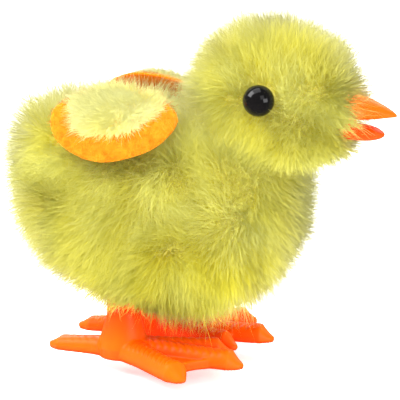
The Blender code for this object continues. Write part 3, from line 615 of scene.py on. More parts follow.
def body_layer(names, per_mm2, share, width, seed, **more):
    root, normal = scatter(backing_grid, body_normals, per_mm2, seed)
    outer = root + BODY_PILE * normal
    near_leg = np.minimum(np.hypot(root[:, 0] - LEG_X, root[:, 1] - LEG_Y), np.hypot(root[:, 0] - LEG_X, root[:, 1] + LEG_Y))
    keep = ~inside_head(outer, -3.2) & ~in_knob_well(root, 5.6) & ~((near_leg < 3.1) & (root[:, 2] < 26 + Z0))
    keep &= ~(in_leg_slot(root, -1.0) & (np.abs(root[:, 1]) < 5.5))
    keep &= ~(in_leg_slot(root, 1.0) & (np.abs(root[:, 0] - LEG_X) < 5.4) & (np.abs(np.abs(root[:, 1]) - 10.0) < 2.2))
    root, normal, outer, near_leg = root[keep], normal[keep], outer[keep], near_leg[keep]
    flow = np.array((-0.40, 0.0, -0.55))[None] + 0.8 * waves(root, 24.0, 5) + 0.35 * waves(root, 8.0, 6)
    away = np.stack([outer[:, 0] - spot[0], np.abs(outer[:, 1]) - spot[1], outer[:, 2] - spot[2]], -1)
    away[:, 1] *= np.sign(outer[:, 1])
    near = 0.7 * np.exp(-np.sum(away**2, -1) / (2 * 6.0**2))[:, None]
    flow = flow * (1 - near) + 1.5 * unit(away) * near
    r = np.random.default_rng(seed + 7)
    length = share * BODY_PILE / np.cos(0.5) * (1.0 + 0.07 * waves(root, 7.0, 8, 1)[:, 0]) * r.uniform(0.84, 1.10, len(root))
    lean = 0.5 + 0.2 * waves(root, 10.0, 12, 1)[:, 0]
    length = np.where(in_wing(outer, 1.6) < 1.0, length * 0.55, length)
    x, z = root[:, 0] - X0, root[:, 2] - Z0
    length = length * (1.0 - 0.40 * np.exp(-(((x + 20.0) / 9.0) ** 2) - ((z - 14.0) / 6.0) ** 2))
    length = length * (1.0 - 0.28 * np.exp(-(((x + 33.0) / 8.0) ** 2) - ((z - 27.0) / 8.0) ** 2))
    length = length * (1.0 + 0.14 * np.exp(-(((x + 27.0) / 6.0) ** 2) - ((z - 48.0) / 5.0) ** 2))
    by_leg = np.exp(-((near_leg / 6.5) ** 2)) * (root[:, 2] < 26 + Z0)
    width = width * (1.0 + 1.2 * by_leg)
    length = length * (1.0 - 0.22 * np.clip((13.0 - (outer[:, 2] - Z0)) / 4.0, 0.0, 1.0))
    lowest = 8.0 + 3.6 * np.clip(1.7 * np.exp(-((near_leg / 9.0) ** 2)), 0.0, 1.0)
    length = np.where(z < 22.0, np.minimum(length, np.maximum(z - lowest, 0.6) / 0.85), length)
    cuts = np.linspace(-33, 33, len(names) + 1)[1:-1]
    split = np.digitize(root[:, 0] - X0, cuts)
    # Over the leg openings the strands start low, clear of the screws and drive plates that move above them.
    over_leg = in_leg_slot(root, 1.0) & (root[:, 2] < 20 + Z0)
    clear = np.where(over_leg, 2.4 * np.clip(14.0 - np.abs(root[:, 1]), 0.0, 1.0), 0.0)
    root = root + normal * clear[:, None]
    length = np.maximum(length - clear, 1.2)
    # Painted shade with a warm bounce from the feet: from 34 mm above the base down, the strands turn to the pile's
    # deeper, more saturated colours, most below 14 mm; the waves and the random part are the pile's own tone.
    tone_and_painted_shade = 0.5 + 0.13 * waves(root, 9.0, 3, 1)[:, 0] + r.normal(0, 0.07, len(root)) - 0.35 * np.clip((14.0 - (outer[:, 2] - Z0)) / 5.0, 0.0, 1.0) - 0.38 * np.clip((34.0 - (outer[:, 2] - Z0)) / 18.0, 0.0, 1.0)
    made = make_pile(names, root, normal, flow, length, lean, width, PILE, seed + 9, split=split, tone_and_painted_shade=tone_and_painted_shade, **more)
    belongs(made, "body", "yellow_plush", "plush_body")


body_layer(["body_under_pile_rear", "body_under_pile_front"], 6.0, 0.78, 0.17, 31, clump=0.25, wild=0.22, crimp=0.12, soft=0.06)
body_layer(
    ["body_pile_rump", "body_pile_back", "body_pile_flanks", "body_pile_breast"], 16.0, 1.0, 0.072, 41, clump=0.20, tuft=1.4, wild=0.33, crimp=0.22, soft=0.08
)

# ---------------------------------------------------------------- head pile
head_surface = head_grid(110, 130)
head_normals = grid_normals(head_surface, HEAD_C)
head_back = head_surface - HEAD_PILE * head_normals
eyes = {}
for side in ("right", "left"):
    low, high = box("eye_" + side)
    sign = -1 if side == "right" else 1
    outer_y = low[1] if sign < 0 else high[1]
    eyes[side] = np.array(((low[0] + high[0]) / 2, outer_y - sign * (high[2] - low[2]) / 2, (low[2] + high[2]) / 2))
EYE_R = (high[2] - low[2]) / 2 + 0.05


def near_eye(p, r):
    hit = np.zeros(len(p), bool)
    for e in eyes.values():
        hit |= (np.hypot(p[:, 0] - e[0], p[:, 2] - e[2]) < r) & (p[:, 1] * e[1] > 0)
    return hit


def near_beak(p, r):
    return (np.hypot(p[:, 1], (p[:, 2] - BEAK_Z) * 1.05) < r) & (p[:, 0] > HEAD_C[0])


cloth = grid_mesh("head_backing_cloth", head_back[::2, ::2], lambda c: ~near_beak(c, 4.6) & ~((np.hypot(c[:, 0] - HEAD_C[0] + 4.4, c[:, 1]) < 5.0) & (c[:, 2] < HEAD_C[2])), BACKING)
thicken(cloth, 0.6)
belongs(cloth, "body", "yellow_plush", "plush_head")

def head_layer(names, per_mm2, share, width, seed, **more):
    root, normal = scatter(head_back, head_normals, per_mm2, seed)
    keep = ~near_eye(root, 2.2) & ~near_beak(root, 3.7) & ~(near_beak(root, 4.3) & (root[:, 2] < BEAK_Z + 1.4) & (root[:, 2] > BEAK_Z - 2.6))
    top, bottom, half = body_section(np.clip(root[:, 0] - X0, -32, 31))
    inside_body = (
        np.abs(root[:, 1] / np.maximum(half - 5.0, 1)) ** BODY_POWER + np.abs((root[:, 2] - (top + bottom) / 2) / ((top - bottom) / 2 - 5.0)) ** BODY_POWER < 1
    ) & (root[:, 0] - X0 < 27)
    keep &= ~inside_body
    root, normal = root[keep], normal[keep]
    flow = np.array((-0.55, 0.0, 0.15))[None] + 0.6 * waves(root, 18.0, 15) + 0.45 * waves(root, 7.0, 16)
    r = np.random.default_rng(seed + 7)
    length = share * HEAD_PILE / np.cos(0.45) * (1.0 + 0.06 * waves(root, 6.0, 18, 1)[:, 0]) * r.uniform(0.84, 1.10, len(root))
    lean = 0.45 + 0.18 * waves(root, 9.0, 22, 1)[:, 0]
    # Round the beak the pile stands straight out over its base; round the eyes it is short and parts from them.
    round_beak = np.hypot(root[:, 1], root[:, 2] - BEAK_Z)
    face = np.where(root[:, 0] > HEAD_C[0] + 6, np.exp(-((round_beak / 9.0) ** 2)), 0.0)
    lean = lean * (1 - 0.9 * face)
    length = length * (1 + 0.32 * face * np.clip((root[:, 2] - BEAK_Z + 2.0) / 3.0, 0.0, 1.0))
    to_beak = np.stack([0.6 + 0 * face, -root[:, 1], BEAK_Z + 0.5 - root[:, 2]], -1)
    rim = np.where(root[:, 0] > HEAD_C[0] + 6, np.exp(-((round_beak / 7.0) ** 2)), 0.0) * np.where(root[:, 2] > BEAK_Z - 2.5, np.clip((root[:, 2] - BEAK_Z + 0.5) / 2.0, 0.0, 1.0), 0.75)
    flow = flow * (1 - rim[:, None]) + 1.5 * unit(to_beak) * rim[:, None]
    lean = lean + 0.42 * rim
    width = width * (1.0 + 1.1 * rim)
    x, z = root[:, 0] - X0, root[:, 2] - Z0
    length = length * (1.0 - 0.5 * np.exp(-(((x - 33.0) / 6.5) ** 2) - ((z - 42.5) / 3.5) ** 2))
    length = length * (1.0 + 0.35 * np.exp(-(((x - 37.0) / 3.5) ** 2) - ((z - 48.0) / 2.2) ** 2))
    for e in eyes.values():
        close = np.hypot(root[:, 0] - e[0], root[:, 2] - e[2])
        same = root[:, 1] * e[1] > 0
        length = length * np.where(same, np.clip(0.62 + (close - 2.4) / 5.0, 0.62, 1.0), 1.0)
        outward = np.stack([root[:, 0] - e[0], 0 * close, root[:, 2] - e[2]], -1)
        pull = np.where(same, 0.35 * np.exp(-((close / 4.5) ** 2)), 0.0)[:, None]
        flow = flow * (1 - pull) + 1.2 * unit(outward) * pull
        # Above each eye the strands fan upwards.
        brow = np.where(same, np.exp(-(((root[:, 0] - e[0] - 1.0) / 8.0) ** 2) - ((root[:, 2] - e[2] - 7.0) / 5.0) ** 2), 0.0)[:, None]
        fan = np.stack([0.09 * (root[:, 0] - e[0]), 0 * close, 0 * close + 1.0], -1)
        flow = flow * (1 - brow) + 1.1 * fan * brow
    cuts = np.linspace(HEAD_C[0] - HEAD_HALF[0], HEAD_C[0] + HEAD_HALF[0], len(names) + 1)[1:-1]
    split = np.digitize(root[:, 0], cuts)
    made = make_pile(names, root, normal, flow, length, lean, width, PILE, seed + 9, split=split, **more)
    belongs(made, "body", "yellow_plush", "plush_head")


head_layer(["head_under_pile"], 7.0, 0.78, 0.16, 51, clump=0.22, wild=0.22, crimp=0.12, soft=0.06, below=-0.15)
head_layer(["head_pile_back", "head_pile_face"], 20.0, 1.0, 0.068, 61, clump=0.18, tuft=1.2, wild=0.31, crimp=0.20, soft=0.08, below=-0.15)

# The head's filling, which only shows where the cloth is open.
low, high = box("head_stuffing")
centre, half = (low + high) / 2, (high - low) / 2
p = np.linspace(0, np.pi, 26)
rings = []
for k, polar in enumerate(p):
    a = np.linspace(0, 2 * np.pi, 40, endpoint=False) if 0 < k < len(p) - 1 else np.zeros(1)
    d = np.stack([np.sin(polar) * np.cos(a), np.sin(polar) * np.sin(a), np.cos(polar) + 0 * a], -1)
    lumps = 0.95 + 0.05 * np.clip(waves(d * 10, 4.0, 71, 1), -1, 1)
    rings.append(centre + d * half * lumps * 0.97)
filling = rings_mesh("head_filling_fibre", rings, FILLING)
belongs(filling, "body", "white_fibre_stuffing", "head_stuffing")


# ---------------------------------------------------------------- wings
WING_TURN = 3.0
SHAPES = {-1: ((-5.5, 13.1, 128.2, 24.2), (-5.2, 8.0, 122.8, 15.2)), 1: ((-5.5, 13.1, 126.0, 26.0), (-5.4, 7.6, 121.5, 15.5))}


def wing_point(sign, centre_x, half_x, centre_a, half_a, u, v, grow):
    # The felt's upper edge, nearest the middle of the back, stands a little off the pile.
    v = np.asarray(v, float)
    rise = np.degrees(np.radians(centre_a - half_a * v))
    grow = grow + (0.7 if sign < 0 else 2.0) * np.clip((116.0 - rise) / 16.0, 0.0, 1.2) ** 2
    x, y, z = np.moveaxis(body_point(centre_x + half_x * u, np.radians(centre_a - half_a * v - WING_TURN * u), grow), -1, 0)
    return np.stack([x, -sign * y, z], -1)


for side, sign in (("right", -1), ("left", 1)):
    FELT_SHAPE, PAD_SHAPE = SHAPES[sign]
    rings = []
    a = np.linspace(0, 2 * np.pi, 120, endpoint=False)
    edge = 1.0 + 0.012 * np.sin(3 * a + 1.0) + 0.008 * np.sin(7 * a)
    for r in np.concatenate([np.linspace(0, 0.9, 12), [0.94, 0.97, 0.99, 1.0]]):
        grow = 1.75 - 0.5 * max(0.0, (r - 0.9) / 0.1) ** 2
        if r == 0:
            rings.append(wing_point(sign, *FELT_SHAPE, np.zeros(1), np.zeros(1), np.full(1, grow)))
            continue
        u, v = r * np.cos(a) * edge, r * np.sin(a) * edge
        p = wing_point(sign, *FELT_SHAPE, u, v, 0.0 * a)
        lift = 0.12 * waves(p, 5.0, 81, 1)[:, 0]
        rings.append(wing_point(sign, *FELT_SHAPE, u, v, grow + lift))
    for r in (1.0, 0.99, 0.96, 0.8, 0.5, 0.2, 0.0):
        grow = 0.5 + 0.35 * max(0.0, (r - 0.9) / 0.1) ** 2
        if r == 0:
            rings.append(wing_point(sign, *FELT_SHAPE, np.zeros(1), np.zeros(1), np.full(1, grow)))
            continue
        rings.append(wing_point(sign, *FELT_SHAPE, r * np.cos(a) * edge, r * np.sin(a) * edge, grow + 0 * a))
    felt = rings_mesh("wing_felt_cloth_" + side, rings, FELT)
    belongs(felt, "body", "orange_felt", "wing_felt_" + side)

    # Loose fibres lie over the felt and stand a little off its edge.
    r = np.random.default_rng(90 + (sign > 0))
    n = 5200
    rad = np.sqrt(r.uniform(0.0, 1.02, n))
    ang = r.uniform(0, 2 * np.pi, n)
    u, v = rad * np.cos(ang), rad * np.sin(ang)
    root = wing_point(sign, *FELT_SHAPE, u, v, 1.62 - 0.4 * np.clip((rad - 0.93) / 0.07, 0, 1))
    ahead = wing_point(sign, *FELT_SHAPE, u, v, np.full(n, 2.6))
    normal = unit(ahead - root)
    comb = r.normal(size=(n, 3))
    length = r.uniform(0.35, 1.1, n)
    # Painted shadow of the pad: the fibres take their deeper orange under and near the pad and lighten towards the
    # felt's outer rim; the random part is their own tone.
    made = make_pile(["wing_felt_fuzz_" + side], root, normal, comb, length, 1.15, 0.06, FUZZ, 95, clump=0.0, wild=0.35, crimp=0.12, tone_and_painted_shade=0.15 + 0.8 * np.clip((rad - 0.62) / 0.38, 0, 1) + r.normal(0, 0.12, n))
    belongs(made, "body", "orange_felt", "wing_felt_" + side)

    # The pad of pale pile on the felt hangs outwards and down over its lower edge.
    for name, n, width, share, seed in (("wing_under_pile_" + side, 2600, 0.22, 0.8, 97), ("wing_pile_" + side, 9500, 0.08, 1.0, 98)):
        rad = np.sqrt(r.uniform(0.0, 1.0, n))
        ang = r.uniform(0, 2 * np.pi, n)
        wobble = 1.0 + 0.05 * np.sin(3 * ang + 0.7) + 0.04 * np.sin(5 * ang)
        if sign > 0:
            wobble = wobble * np.where(np.sin(ang) > 0, 0.8, 1.0)
        u, v = rad * np.cos(ang) * wobble, rad * np.sin(ang) * wobble
        root = wing_point(sign, *PAD_SHAPE, u, v, np.full(n, 1.7))
        ahead = wing_point(sign, *PAD_SHAPE, u, v, np.full(n, 2.7))
        normal = unit(ahead - root)
        middle = wing_point(sign, *PAD_SHAPE, np.zeros(1), np.zeros(1), np.full(1, 1.7))
        comb = 1.1 * (rad**3)[:, None] * unit(root - middle) + np.array((-0.45, 0.0, -0.8)) + 0.45 * waves(root, 6.0, 99)
        length = share * 3.6 * r.uniform(0.8, 1.1, n) * (1.0 - 0.2 * rad**3)
        made = make_pile([name], root, normal, comb, length, 0.75 + 0.2 * rad**2, width, WING_PILE, seed, clump=0.25, tuft=1.1, wild=0.32, crimp=0.22, soft=0.1)
        belongs(made, "body", "yellow_plush", "wing_fur_" + side)

# ---------------------------------------------------------------- eyes: a bead with a slightly flattened face
for side, e in eyes.items():
    sign = -1 if side == "right" else 1
    rings = []
    a = np.linspace(0, 2 * np.pi, 48, endpoint=False)
    for polar in np.linspace(0, 0.86 * np.pi, 26):
        r = EYE_R * np.sin(polar)
        y = e[1] + sign * EYE_R * np.cos(polar) * (0.96 if np.cos(polar) > 0 else 1.0)
        ring = np.stack([e[0] + r * np.cos(a), y + 0 * a, e[2] + r * np.sin(a)], -1)
        rings.append(ring[:1] * 1.0 if polar == 0 else ring)
    rings[0] = np.array([[e[0], e[1] + sign * EYE_R * 0.96, e[2]]])
    low, high = box("eye_" + side)
    inner = high[1] if sign < 0 else low[1]
    for y, r in ((e[1] - sign * (EYE_R - 0.15), 0.75), (inner + sign * 0.4, 0.75), (inner, 0.5)):
        rings.append(np.stack([e[0] + r * np.cos(a), y + 0 * a, e[2] + r * np.sin(a)], -1))
    bead = rings_mesh("eye_bead_" + side, rings, BEAD)
    belongs(bead, "body", "black_bead", "eye_" + side)


# ---------------------------------------------------------------- beak: two mandibles, open, on a round base
def mandible(rows, ridge, sides=40):
    """rows: x, middle height, half width, half height. ridge above 0 sharpens the top, below 0 the bottom."""
    a = np.linspace(0, 2 * np.pi, sides, endpoint=False)
    rows = np.array(rows, float)
    rows = spline(rows, np.linspace(0, 1, 28))
    rings = []
    for x, z, w, h in rows:
        up = np.sin(a)
        shape = np.where(up * ridge > 0, np.abs(up) ** 1.15, np.abs(up) ** 0.8) * np.sign(up)
        rings.append(np.stack([x + 0 * a, w * np.cos(a), z + h * shape * np.where(up * ridge > 0, 1.15, 0.75)], -1))
    return rings


BX = beak_high[0] - 48.6  # the beak's stations are counted from its tip
upper = mandible(
    (
        (38.2, 54.1, 3.9, 2.7),
        (40.5, 54.1, 4.0, 2.55),
        (42.6, 53.9, 3.7, 2.3),
        (44.2, 53.75, 3.05, 1.9),
        (45.8, 53.6, 2.25, 1.4),
        (47.3, 53.4, 1.35, 0.85),
        (48.3, 53.2, 0.6, 0.42),
        (48.6, 53.1, 0.15, 0.12),
    ),
    1,
)
lower = mandible(
    (
        (38.2, 50.0, 3.7, 1.75),
        (40.8, 49.9, 3.7, 1.7),
        (42.8, 49.8, 3.15, 1.6),
        (44.3, 49.65, 2.45, 1.3),
        (45.4, 49.45, 1.6, 0.85),
        (46.0, 49.35, 0.8, 0.42),
        (46.2, 49.3, 0.2, 0.1),
    ),
    -1,
)
a = np.linspace(0, 2 * np.pi, 40, endpoint=False)
base = [
    np.stack([x + 0 * a, r * np.cos(a), BEAK_Z + r * np.sin(a)], -1)
    for x, r in ((34.25, 1.0), (34.6, 1.15), (37.5, 1.15), (37.7, 3.8), (38.2, 4.0), (39.0, 3.8), (39.7, 3.0))
]


def fused(name, parts, voxel, smooth_passes, mat, shape=None):
    """Closed parts that overlap, melted into one moulding with small fillets where they meet."""
    verts, faces = [], []
    for rings in parts:
        start = [np.atleast_2d(r) for r in rings]
        rows, first = [], len(verts)
        for ring in start:
            rows.append(list(range(len(verts), len(verts) + len(ring))))
            verts.extend(ring.tolist())
        for p, q in zip(rows, rows[1:]):
            m = max(len(p), len(q))
            for k in range(m):
                corner = []
                for v in (p[k % len(p)], p[(k + 1) % len(p)], q[(k + 1) % len(q)], q[k % len(q)]):
                    if v not in corner:
                        corner.append(v)
                if len(corner) > 2:
                    faces.append(corner)
        faces.append(rows[0])
        faces.append(rows[-1])
    obj = mesh_of(name + "_parts", verts, [f for f in faces if len(f) > 2], None)
    melt = obj.modifiers.new("melt", "REMESH")
    melt.mode = "VOXEL"
    melt.voxel_size = voxel * MM
    if smooth_passes:
        relax = obj.modifiers.new("relax", "SMOOTH")
        relax.factor = 0.5
        relax.iterations = smooth_passes
    graph = bpy.context.evaluated_depsgraph_get()
    done = bpy.data.meshes.new_from_object(obj.evaluated_get(graph))
    done.name = name
    old = obj.data
    bpy.data.objects.remove(obj)
    bpy.data.meshes.remove(old)
    if shape is not None:
        co = np.empty(len(done.vertices) * 3)
        done.vertices.foreach_get("co", co)
        no = np.empty(len(done.vertices) * 3)
        done.vertices.foreach_get("normal", no)
        co = shape(co.reshape(-1, 3) / MM, no.reshape(-1, 3))
        done.vertices.foreach_set("co", (co * MM).ravel())
        done.update()
    done.materials.clear()
    return link(done, name, mat)


shift = np.array((BX, 0.0, Z0))
beak = fused("beak_moulding", [[r + shift for r in upper], [r + shift for r in lower], [r + np.array((BX, 0, 0)) for r in base]], 0.14, 3, ORANGE)
belongs(beak, "body", "orange_plastic", "beak")

# ---------------------------------------------------------------- feet
TOES = (
    ("rear", 180.0, 17.2, 4.3, 2.6),
    ("middle", 0.0, 26.7, 3.6, 2.6),
    ("outer", -36.4, 24.2, 4.0, 2.6),
    ("inner", 22.9, 22.4, 2.7, 1.9),
)
CLAW = 2.8
SPLAY = 3.8
TOE_HEIGHT = 3.5


def toe_width(s, reach, root_w, tip_w):
    """Half the toe's width: it narrows from the root, then from the last knuckle to a blunt claw."""
    bend = reach - CLAW
    w = root_w + (tip_w - root_w) * np.clip(s / (0.45 * bend), 0, 1) ** 0.8
    t = np.clip((s - bend) / CLAW, 0.0, 1.0)
    claw = 0.95 + (tip_w - 0.95) * (1 - t) ** 1.15
    end = np.sqrt(np.clip(1 - (np.clip(s - reach + 0.9, 0.0, 0.9) / 0.9) ** 2, 0.0, 1.0))
    return np.where(s > bend, claw * end, w)


def build_foot(side, sign):
    def place(u, v, z):
        return np.stack([LEG_X + u, sign * (LEG_Y - v), z + 0 * u], -1)

    parts = []
    for _, direction, reach, root_w, tip_w in TOES:
        angle = np.radians(direction - SPLAY)
        bend = reach - CLAW
        rings = []
        for s in np.concatenate([np.linspace(-1.0, bend, 24), bend + CLAW * np.array((0.12, 0.25, 0.4, 0.55, 0.7, 0.8, 0.88, 0.94, 0.985))]):
            w = float(toe_width(np.array(s), reach, root_w, tip_w))
            t = max(0.0, (s - bend) / CLAW)
            knuckle = 0.25 * np.exp(-(((s - bend + 0.9) / 1.4) ** 2))
            h = (TOE_HEIGHT + 0.8 * (1 - max(0.0, s) / reach) ** 1.5) + knuckle
            if direction > 90:
                h = 2.5 + 1.7 * (1 - max(0.0, s) / reach) ** 1.2
            h = 1.15 + (h - 1.15) * (1 - t) ** 1.35 if t > 0 else h
            under = 0.25 * t**3
            q = np.linspace(0, np.pi, 17)
            c, t = np.cos(q), np.sin(q)
            c, t = rounded(c, 2.4), rounded(t, 2.4)
            c = np.concatenate([[0.86], c, [-0.86]])
            t = np.concatenate([[0.0], 0.18 + 0.82 * t, [0.0]])
            rings.append(place(s * np.cos(angle) - w * c * np.sin(angle), s * np.sin(angle) + w * c * np.cos(angle), under + (h - under) * t))
        parts.append(rings)
    # Webs between the front toes, with a thin raised lip along the free edge.
    angles = [np.radians(d - SPLAY) for d in (-36.4, 0.0, 22.9)]
    reaches = (24.2, 26.7, 22.4)
    for k in range(2):
        edge = []
        for f in np.linspace(0, 1, 13):
            angle = angles[k] * (1 - f) + angles[k + 1] * f
            reach = 0.86 * (reaches[k] * (1 - f) + reaches[k + 1] * f) * (1 - 0.17 * np.sin(np.pi * f))
            edge.append((reach * np.cos(angle), reach * np.sin(angle)))
        edge = np.array(edge)
        outline = np.vstack([[(0.0, 0.0)], edge])
        parts.append([place(outline[:, 0], outline[:, 1], 0.0), place(outline[:, 0], outline[:, 1], 1.5)])
        inner = edge * 0.955
        lip = np.vstack([edge, inner[::-1]])
        parts.append([place(lip[:, 0], lip[:, 1], 0.3), place(lip[:, 0], lip[:, 1], 2.0)])
    a = np.linspace(0, 2 * np.pi, 40, endpoint=False)
    column = [
        place(r * np.cos(a), r * np.sin(a), z)
        for z, r in ((0.0, 5.0), (2.2, 5.3), (3.9, 4.9), (5.9, 4.3), (7.9, 3.75), (9.8, 3.2), (10.8, 2.4), (11.2, 1.2))
    ]
    parts.append(column)

    def shape(p, n):
        u = p[:, 0] - LEG_X
        v = LEG_Y - sign * p[:, 1]
        best, lift = np.full(len(p), 9.0), np.zeros(len(p))
        for _, direction, reach, root_w, tip_w in TOES:
            angle = np.radians(direction - SPLAY)
            s = u * np.cos(angle) + v * np.sin(angle)
            w = -u * np.sin(angle) + v * np.cos(angle)
            width = np.maximum(toe_width(s, reach, root_w, tip_w), 0.3)
            off = np.abs(w) / width
            inside = (s > 4.2) & (s < reach - 2.6) & (off < best)
            best = np.where(inside, off, best)
            bump = np.abs(np.sin(np.pi * (s + 0.75 * w) / 1.7)) ** 0.9
            fade = np.clip((s - 4.2) / 2.5, 0, 1) * np.clip((reach - 2.6 - s) / 1.6, 0, 1) * np.clip((0.95 - off) / 0.3, 0, 1)
            lift = np.where(inside, (0.08 if direction > 90 else 0.26) * (bump - 0.6) * fade, lift)
        up = np.clip((n[:, 2] - 0.3) / 0.4, 0, 1) * np.clip((p[:, 2] - 1.9) / 0.5, 0, 1)
        p = p + n * (lift * up)[:, None]
        p[:, 2] = np.where(p[:, 2] < 0.22, 0.0, p[:, 2])
        return p

    # The drive plate inside the body, with its crank hole and guide slot.
    low, high = box("foot_" + side)
    foot = fused("foot_moulding_" + side, parts, 0.26, 2, ORANGE, shape)
    belongs(foot, "foot_" + side, "orange_plastic", "foot_" + side)
    y0, y1 = sorted((sign * 9.2, sign * 10.8))
    top = high[2]
    outline = [(-3.0, 6.5), (3.0, 6.5), (3.0, PIN_Z + 1.5), (4.2, PIN_Z + 4.5), (4.2, top - 2.0)]
    outline += [(4.2 * np.cos(q), top - 2.0 + 2.0 * np.sin(q)) for q in np.radians(np.arange(15, 180, 15))]
    outline += [(-4.2, top - 2.0), (-4.2, PIN_Z + 4.5), (-3.0, PIN_Z + 1.5)]
    hole = [(1.4 * np.cos(q), PIN_Z + 1.4 * np.sin(q)) for q in np.linspace(0, 2 * np.pi, 32, endpoint=False)]
    g_low, g_high = PIN_Z + 5.9, PIN_Z + 11.3
    slot = [(2.7 * np.cos(q), g_high - 1.3 + 1.3 * np.sin(q)) for q in np.linspace(0, np.pi, 10)]
    slot += [(2.7 * np.cos(q), g_low + 1.3 + 1.3 * np.sin(q)) for q in np.linspace(np.pi, 2 * np.pi, 10)]
    bm = bmesh.new()
    for y in (y0, y1):
        edges = []
        for loop in (outline, hole, slot):
            vs = [bm.verts.new(((LEG_X + x) * MM, y * MM, z * MM)) for x, z in loop]
            edges += [bm.edges.new((vs[k], vs[(k + 1) % len(vs)])) for k in range(len(vs))]
        bmesh.ops.triangle_fill(bm, use_beauty=True, edges=edges)
    bm.verts.ensure_lookup_table()
    total, first = len(outline) + len(hole) + len(slot), 0
    for loop in (outline, hole, slot):
        for k in range(len(loop)):
            p, q = first + k, first + (k + 1) % len(loop)
            bm.faces.new((bm.verts[p], bm.verts[q], bm.verts[q + total], bm.verts[p + total]))
        first += len(loop)
    bmesh.ops.recalc_face_normals(bm, faces=bm.faces)
    mesh = bpy.data.meshes.new("foot_drive_plate_" + side)
    bm.to_mesh(mesh)
    bm.free()
    drive = link(mesh, "foot_drive_plate_" + side, ORANGE, smooth=False)
    belongs(drive, "foot_" + side, "orange_plastic", "foot_" + side)


build_foot("right", -1)
build_foot("left", 1)

# ---------------------------------------------------------------- winding knob
low, high = box("winding_knob")
face_y = high[1]
knob_r = (high[0] - low[0]) / 2 + 0.2
rings = []
a = np.linspace(0, 2 * np.pi, 180, endpoint=False)
for y, r, depth in (
    (low[1], 2.4, 0.0),
    (low[1] + 1.0, 2.4, 0.0),
    (low[1] + 1.0, knob_r - 0.6, 0.1),
    (low[1] + 1.15, knob_r - 0.35, 0.25),
    (low[1] + 1.5, knob_r - 0.1, 0.36),
    (face_y - 1.0, knob_r - 0.1, 0.36),
    (face_y - 0.45, knob_r - 0.25, 0.3),
    (face_y - 0.1, knob_r - 0.6, 0.15),
    (face_y, knob_r - 1.0, 0.0),
    (face_y - 0.05, knob_r - 1.6, 0.0),
    (face_y - 0.55, knob_r - 1.9, 0.0),
    (face_y - 0.6, 1.7, 0.0),
    (face_y - 0.15, 1.4, 0.0),
    (face_y - 0.1, 0.6, 0.0),
):
    rr = r - depth * (0.5 + 0.5 * np.cos(18 * a)) ** 1.5 * 1.6
    rings.append(np.stack([KNOB_X + rr * np.cos(a), y + 0 * a, KNOB_Z + rr * np.sin(a)], -1))
knob = rings_mesh("winding_knob_moulding", rings, KNOB)
belongs(knob, "winder", "white_knob_plastic", "winding_knob")

# ---------------------------------------------------------------- floor, light and camera
mesh = bpy.data.meshes.new("floor")
# The feet reach down by the height of a hop as the crank turns, so the floor lies just below that.
depth = -0.0032
mesh.from_pydata([(-3, -3, depth), (3, -3, depth), (3, 3, depth), (-3, 3, depth)], [], [(0, 1, 2, 3)])
mat, nodes, links = new_material("pale_floor")
noise = nodes.new("ShaderNodeTexNoise")
noise.inputs["Scale"].default_value = 40.0
tint = ramp_node(nodes, ((0.3, (0.93, 0.93, 0.93)), (0.7, (0.95, 0.95, 0.95))))
links.new(noise.outputs["Fac"], tint.inputs[0])
matte = nodes.new("ShaderNodeBsdfDiffuse")
links.new(tint.outputs[0], matte.inputs["Color"])
glow = nodes.new("ShaderNodeEmission")
glow.inputs["Strength"].default_value = 0.50
add = nodes.new("ShaderNodeAddShader")
links.new(matte.outputs[0], add.inputs[0])
links.new(glow.outputs[0], add.inputs[1])
dim = nodes.new("ShaderNodeBsdfDiffuse")
dim.inputs["Color"].default_value = (0.05, 0.05, 0.05, 1.0)
path = nodes.new("ShaderNodeLightPath")
either = nodes.new("ShaderNodeMixShader")
links.new(path.outputs["Is Glossy Ray"], either.inputs[0])
links.new(add.outputs[0], either.inputs[1])
links.new(dim.outputs[0], either.inputs[2])
out = nodes.new("ShaderNodeOutputMaterial")
links.new(either.outputs[0], out.inputs["Surface"])
floor = link(mesh, "floor", mat, smooth=False)

scene = bpy.context.scene
world = bpy.data.worlds.new("studio")
scene.world = world
world.use_nodes = True
room = world.node_tree
sky = room.nodes["Background"]
sky.inputs["Color"].default_value = (1.0, 1.0, 1.0, 1.0)
# Seen directly the studio is white; in a gloss reflection it is a dim room, so that only the lamps glint.
path = room.nodes.new("ShaderNodeLightPath")
level = room.nodes.new("ShaderNodeMapRange")
room.links.new(path.outputs["Is Glossy Ray"], level.inputs["Value"])
level.inputs["To Min"].default_value = 1.0
level.inputs["To Max"].default_value = 0.15
room.links.new(level.outputs["Result"], sky.inputs["Strength"])
scene.view_settings.view_transform = "Standard"

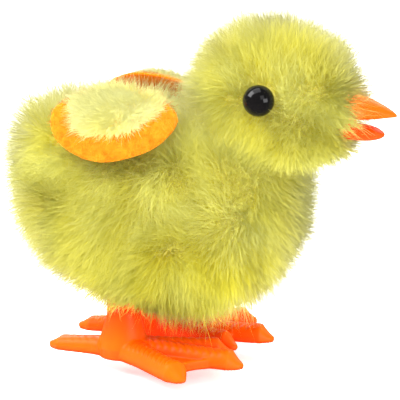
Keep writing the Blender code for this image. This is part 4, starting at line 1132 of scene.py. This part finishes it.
middle = Vector(((CAD_BOUNDS[0][0] + CAD_BOUNDS[1][0]) / 2, 0.0, 0.035))


def lamp(name, azimuth, elevation, distance, size, power, colour=(1, 1, 1)):
    """A square soft light: azimuth counts round from the chick's right side, as the camera's does."""
    a, e = np.radians(azimuth), np.radians(elevation)
    data = bpy.data.lights.new(name, "AREA")
    data.shape = "SQUARE"
    data.size = size
    data.energy = power
    data.color = colour
    obj = bpy.data.objects.new(name, data)
    bpy.context.scene.collection.objects.link(obj)
    obj.location = middle + distance * Vector((np.sin(a) * np.cos(e), -np.cos(a) * np.cos(e), np.sin(e)))
    obj.rotation_euler = (middle - obj.location).to_track_quat("-Z", "Y").to_euler()
    return obj


lamp("key_left", -62.0, 42.0, 0.7, 0.40, 5.4)
lamp("fill_right", 45.0, 30.0, 0.7, 0.32, 0.7)
lamp("face", 66.0, 3.0, 0.7, 0.40, 3.4)
lamp("back", 165.0, 42.0, 0.7, 0.40, 2.0)
lamp("rim", -135.0, 32.0, 0.7, 0.40, 2.6)
lamp("top", -60.0, 78.0, 0.8, 0.6, 3.4)

VIEW_AZIMUTH, VIEW_ELEVATION, DISTANCE = np.radians(19.9), np.radians(11.8), 0.394
aim = Vector((X0 * MM, 0.0, (30.0 + Z0) * MM))
back = Vector((np.sin(VIEW_AZIMUTH) * np.cos(VIEW_ELEVATION), -np.cos(VIEW_AZIMUTH) * np.cos(VIEW_ELEVATION), np.sin(VIEW_ELEVATION)))
right = Vector((np.cos(VIEW_AZIMUTH), np.sin(VIEW_AZIMUTH), 0.0))
up = back.cross(right)
data = bpy.data.cameras.new("camera")
data.lens = 36.0 * 4.8 * 394.0 / 400.0
data.sensor_width = 36.0
data.shift_x = (200.0 - 165.5) / 400.0
data.shift_y = (214.0 - 200.0) / 400.0
data.clip_start = 0.01
camera = bpy.data.objects.new("camera", data)
scene.collection.objects.link(camera)
turn = Matrix((right, up, back)).transposed().to_4x4()
camera.matrix_world = Matrix.Translation(aim + back * DISTANCE) @ turn
scene.camera = camera

bpy.context.view_layer.update()
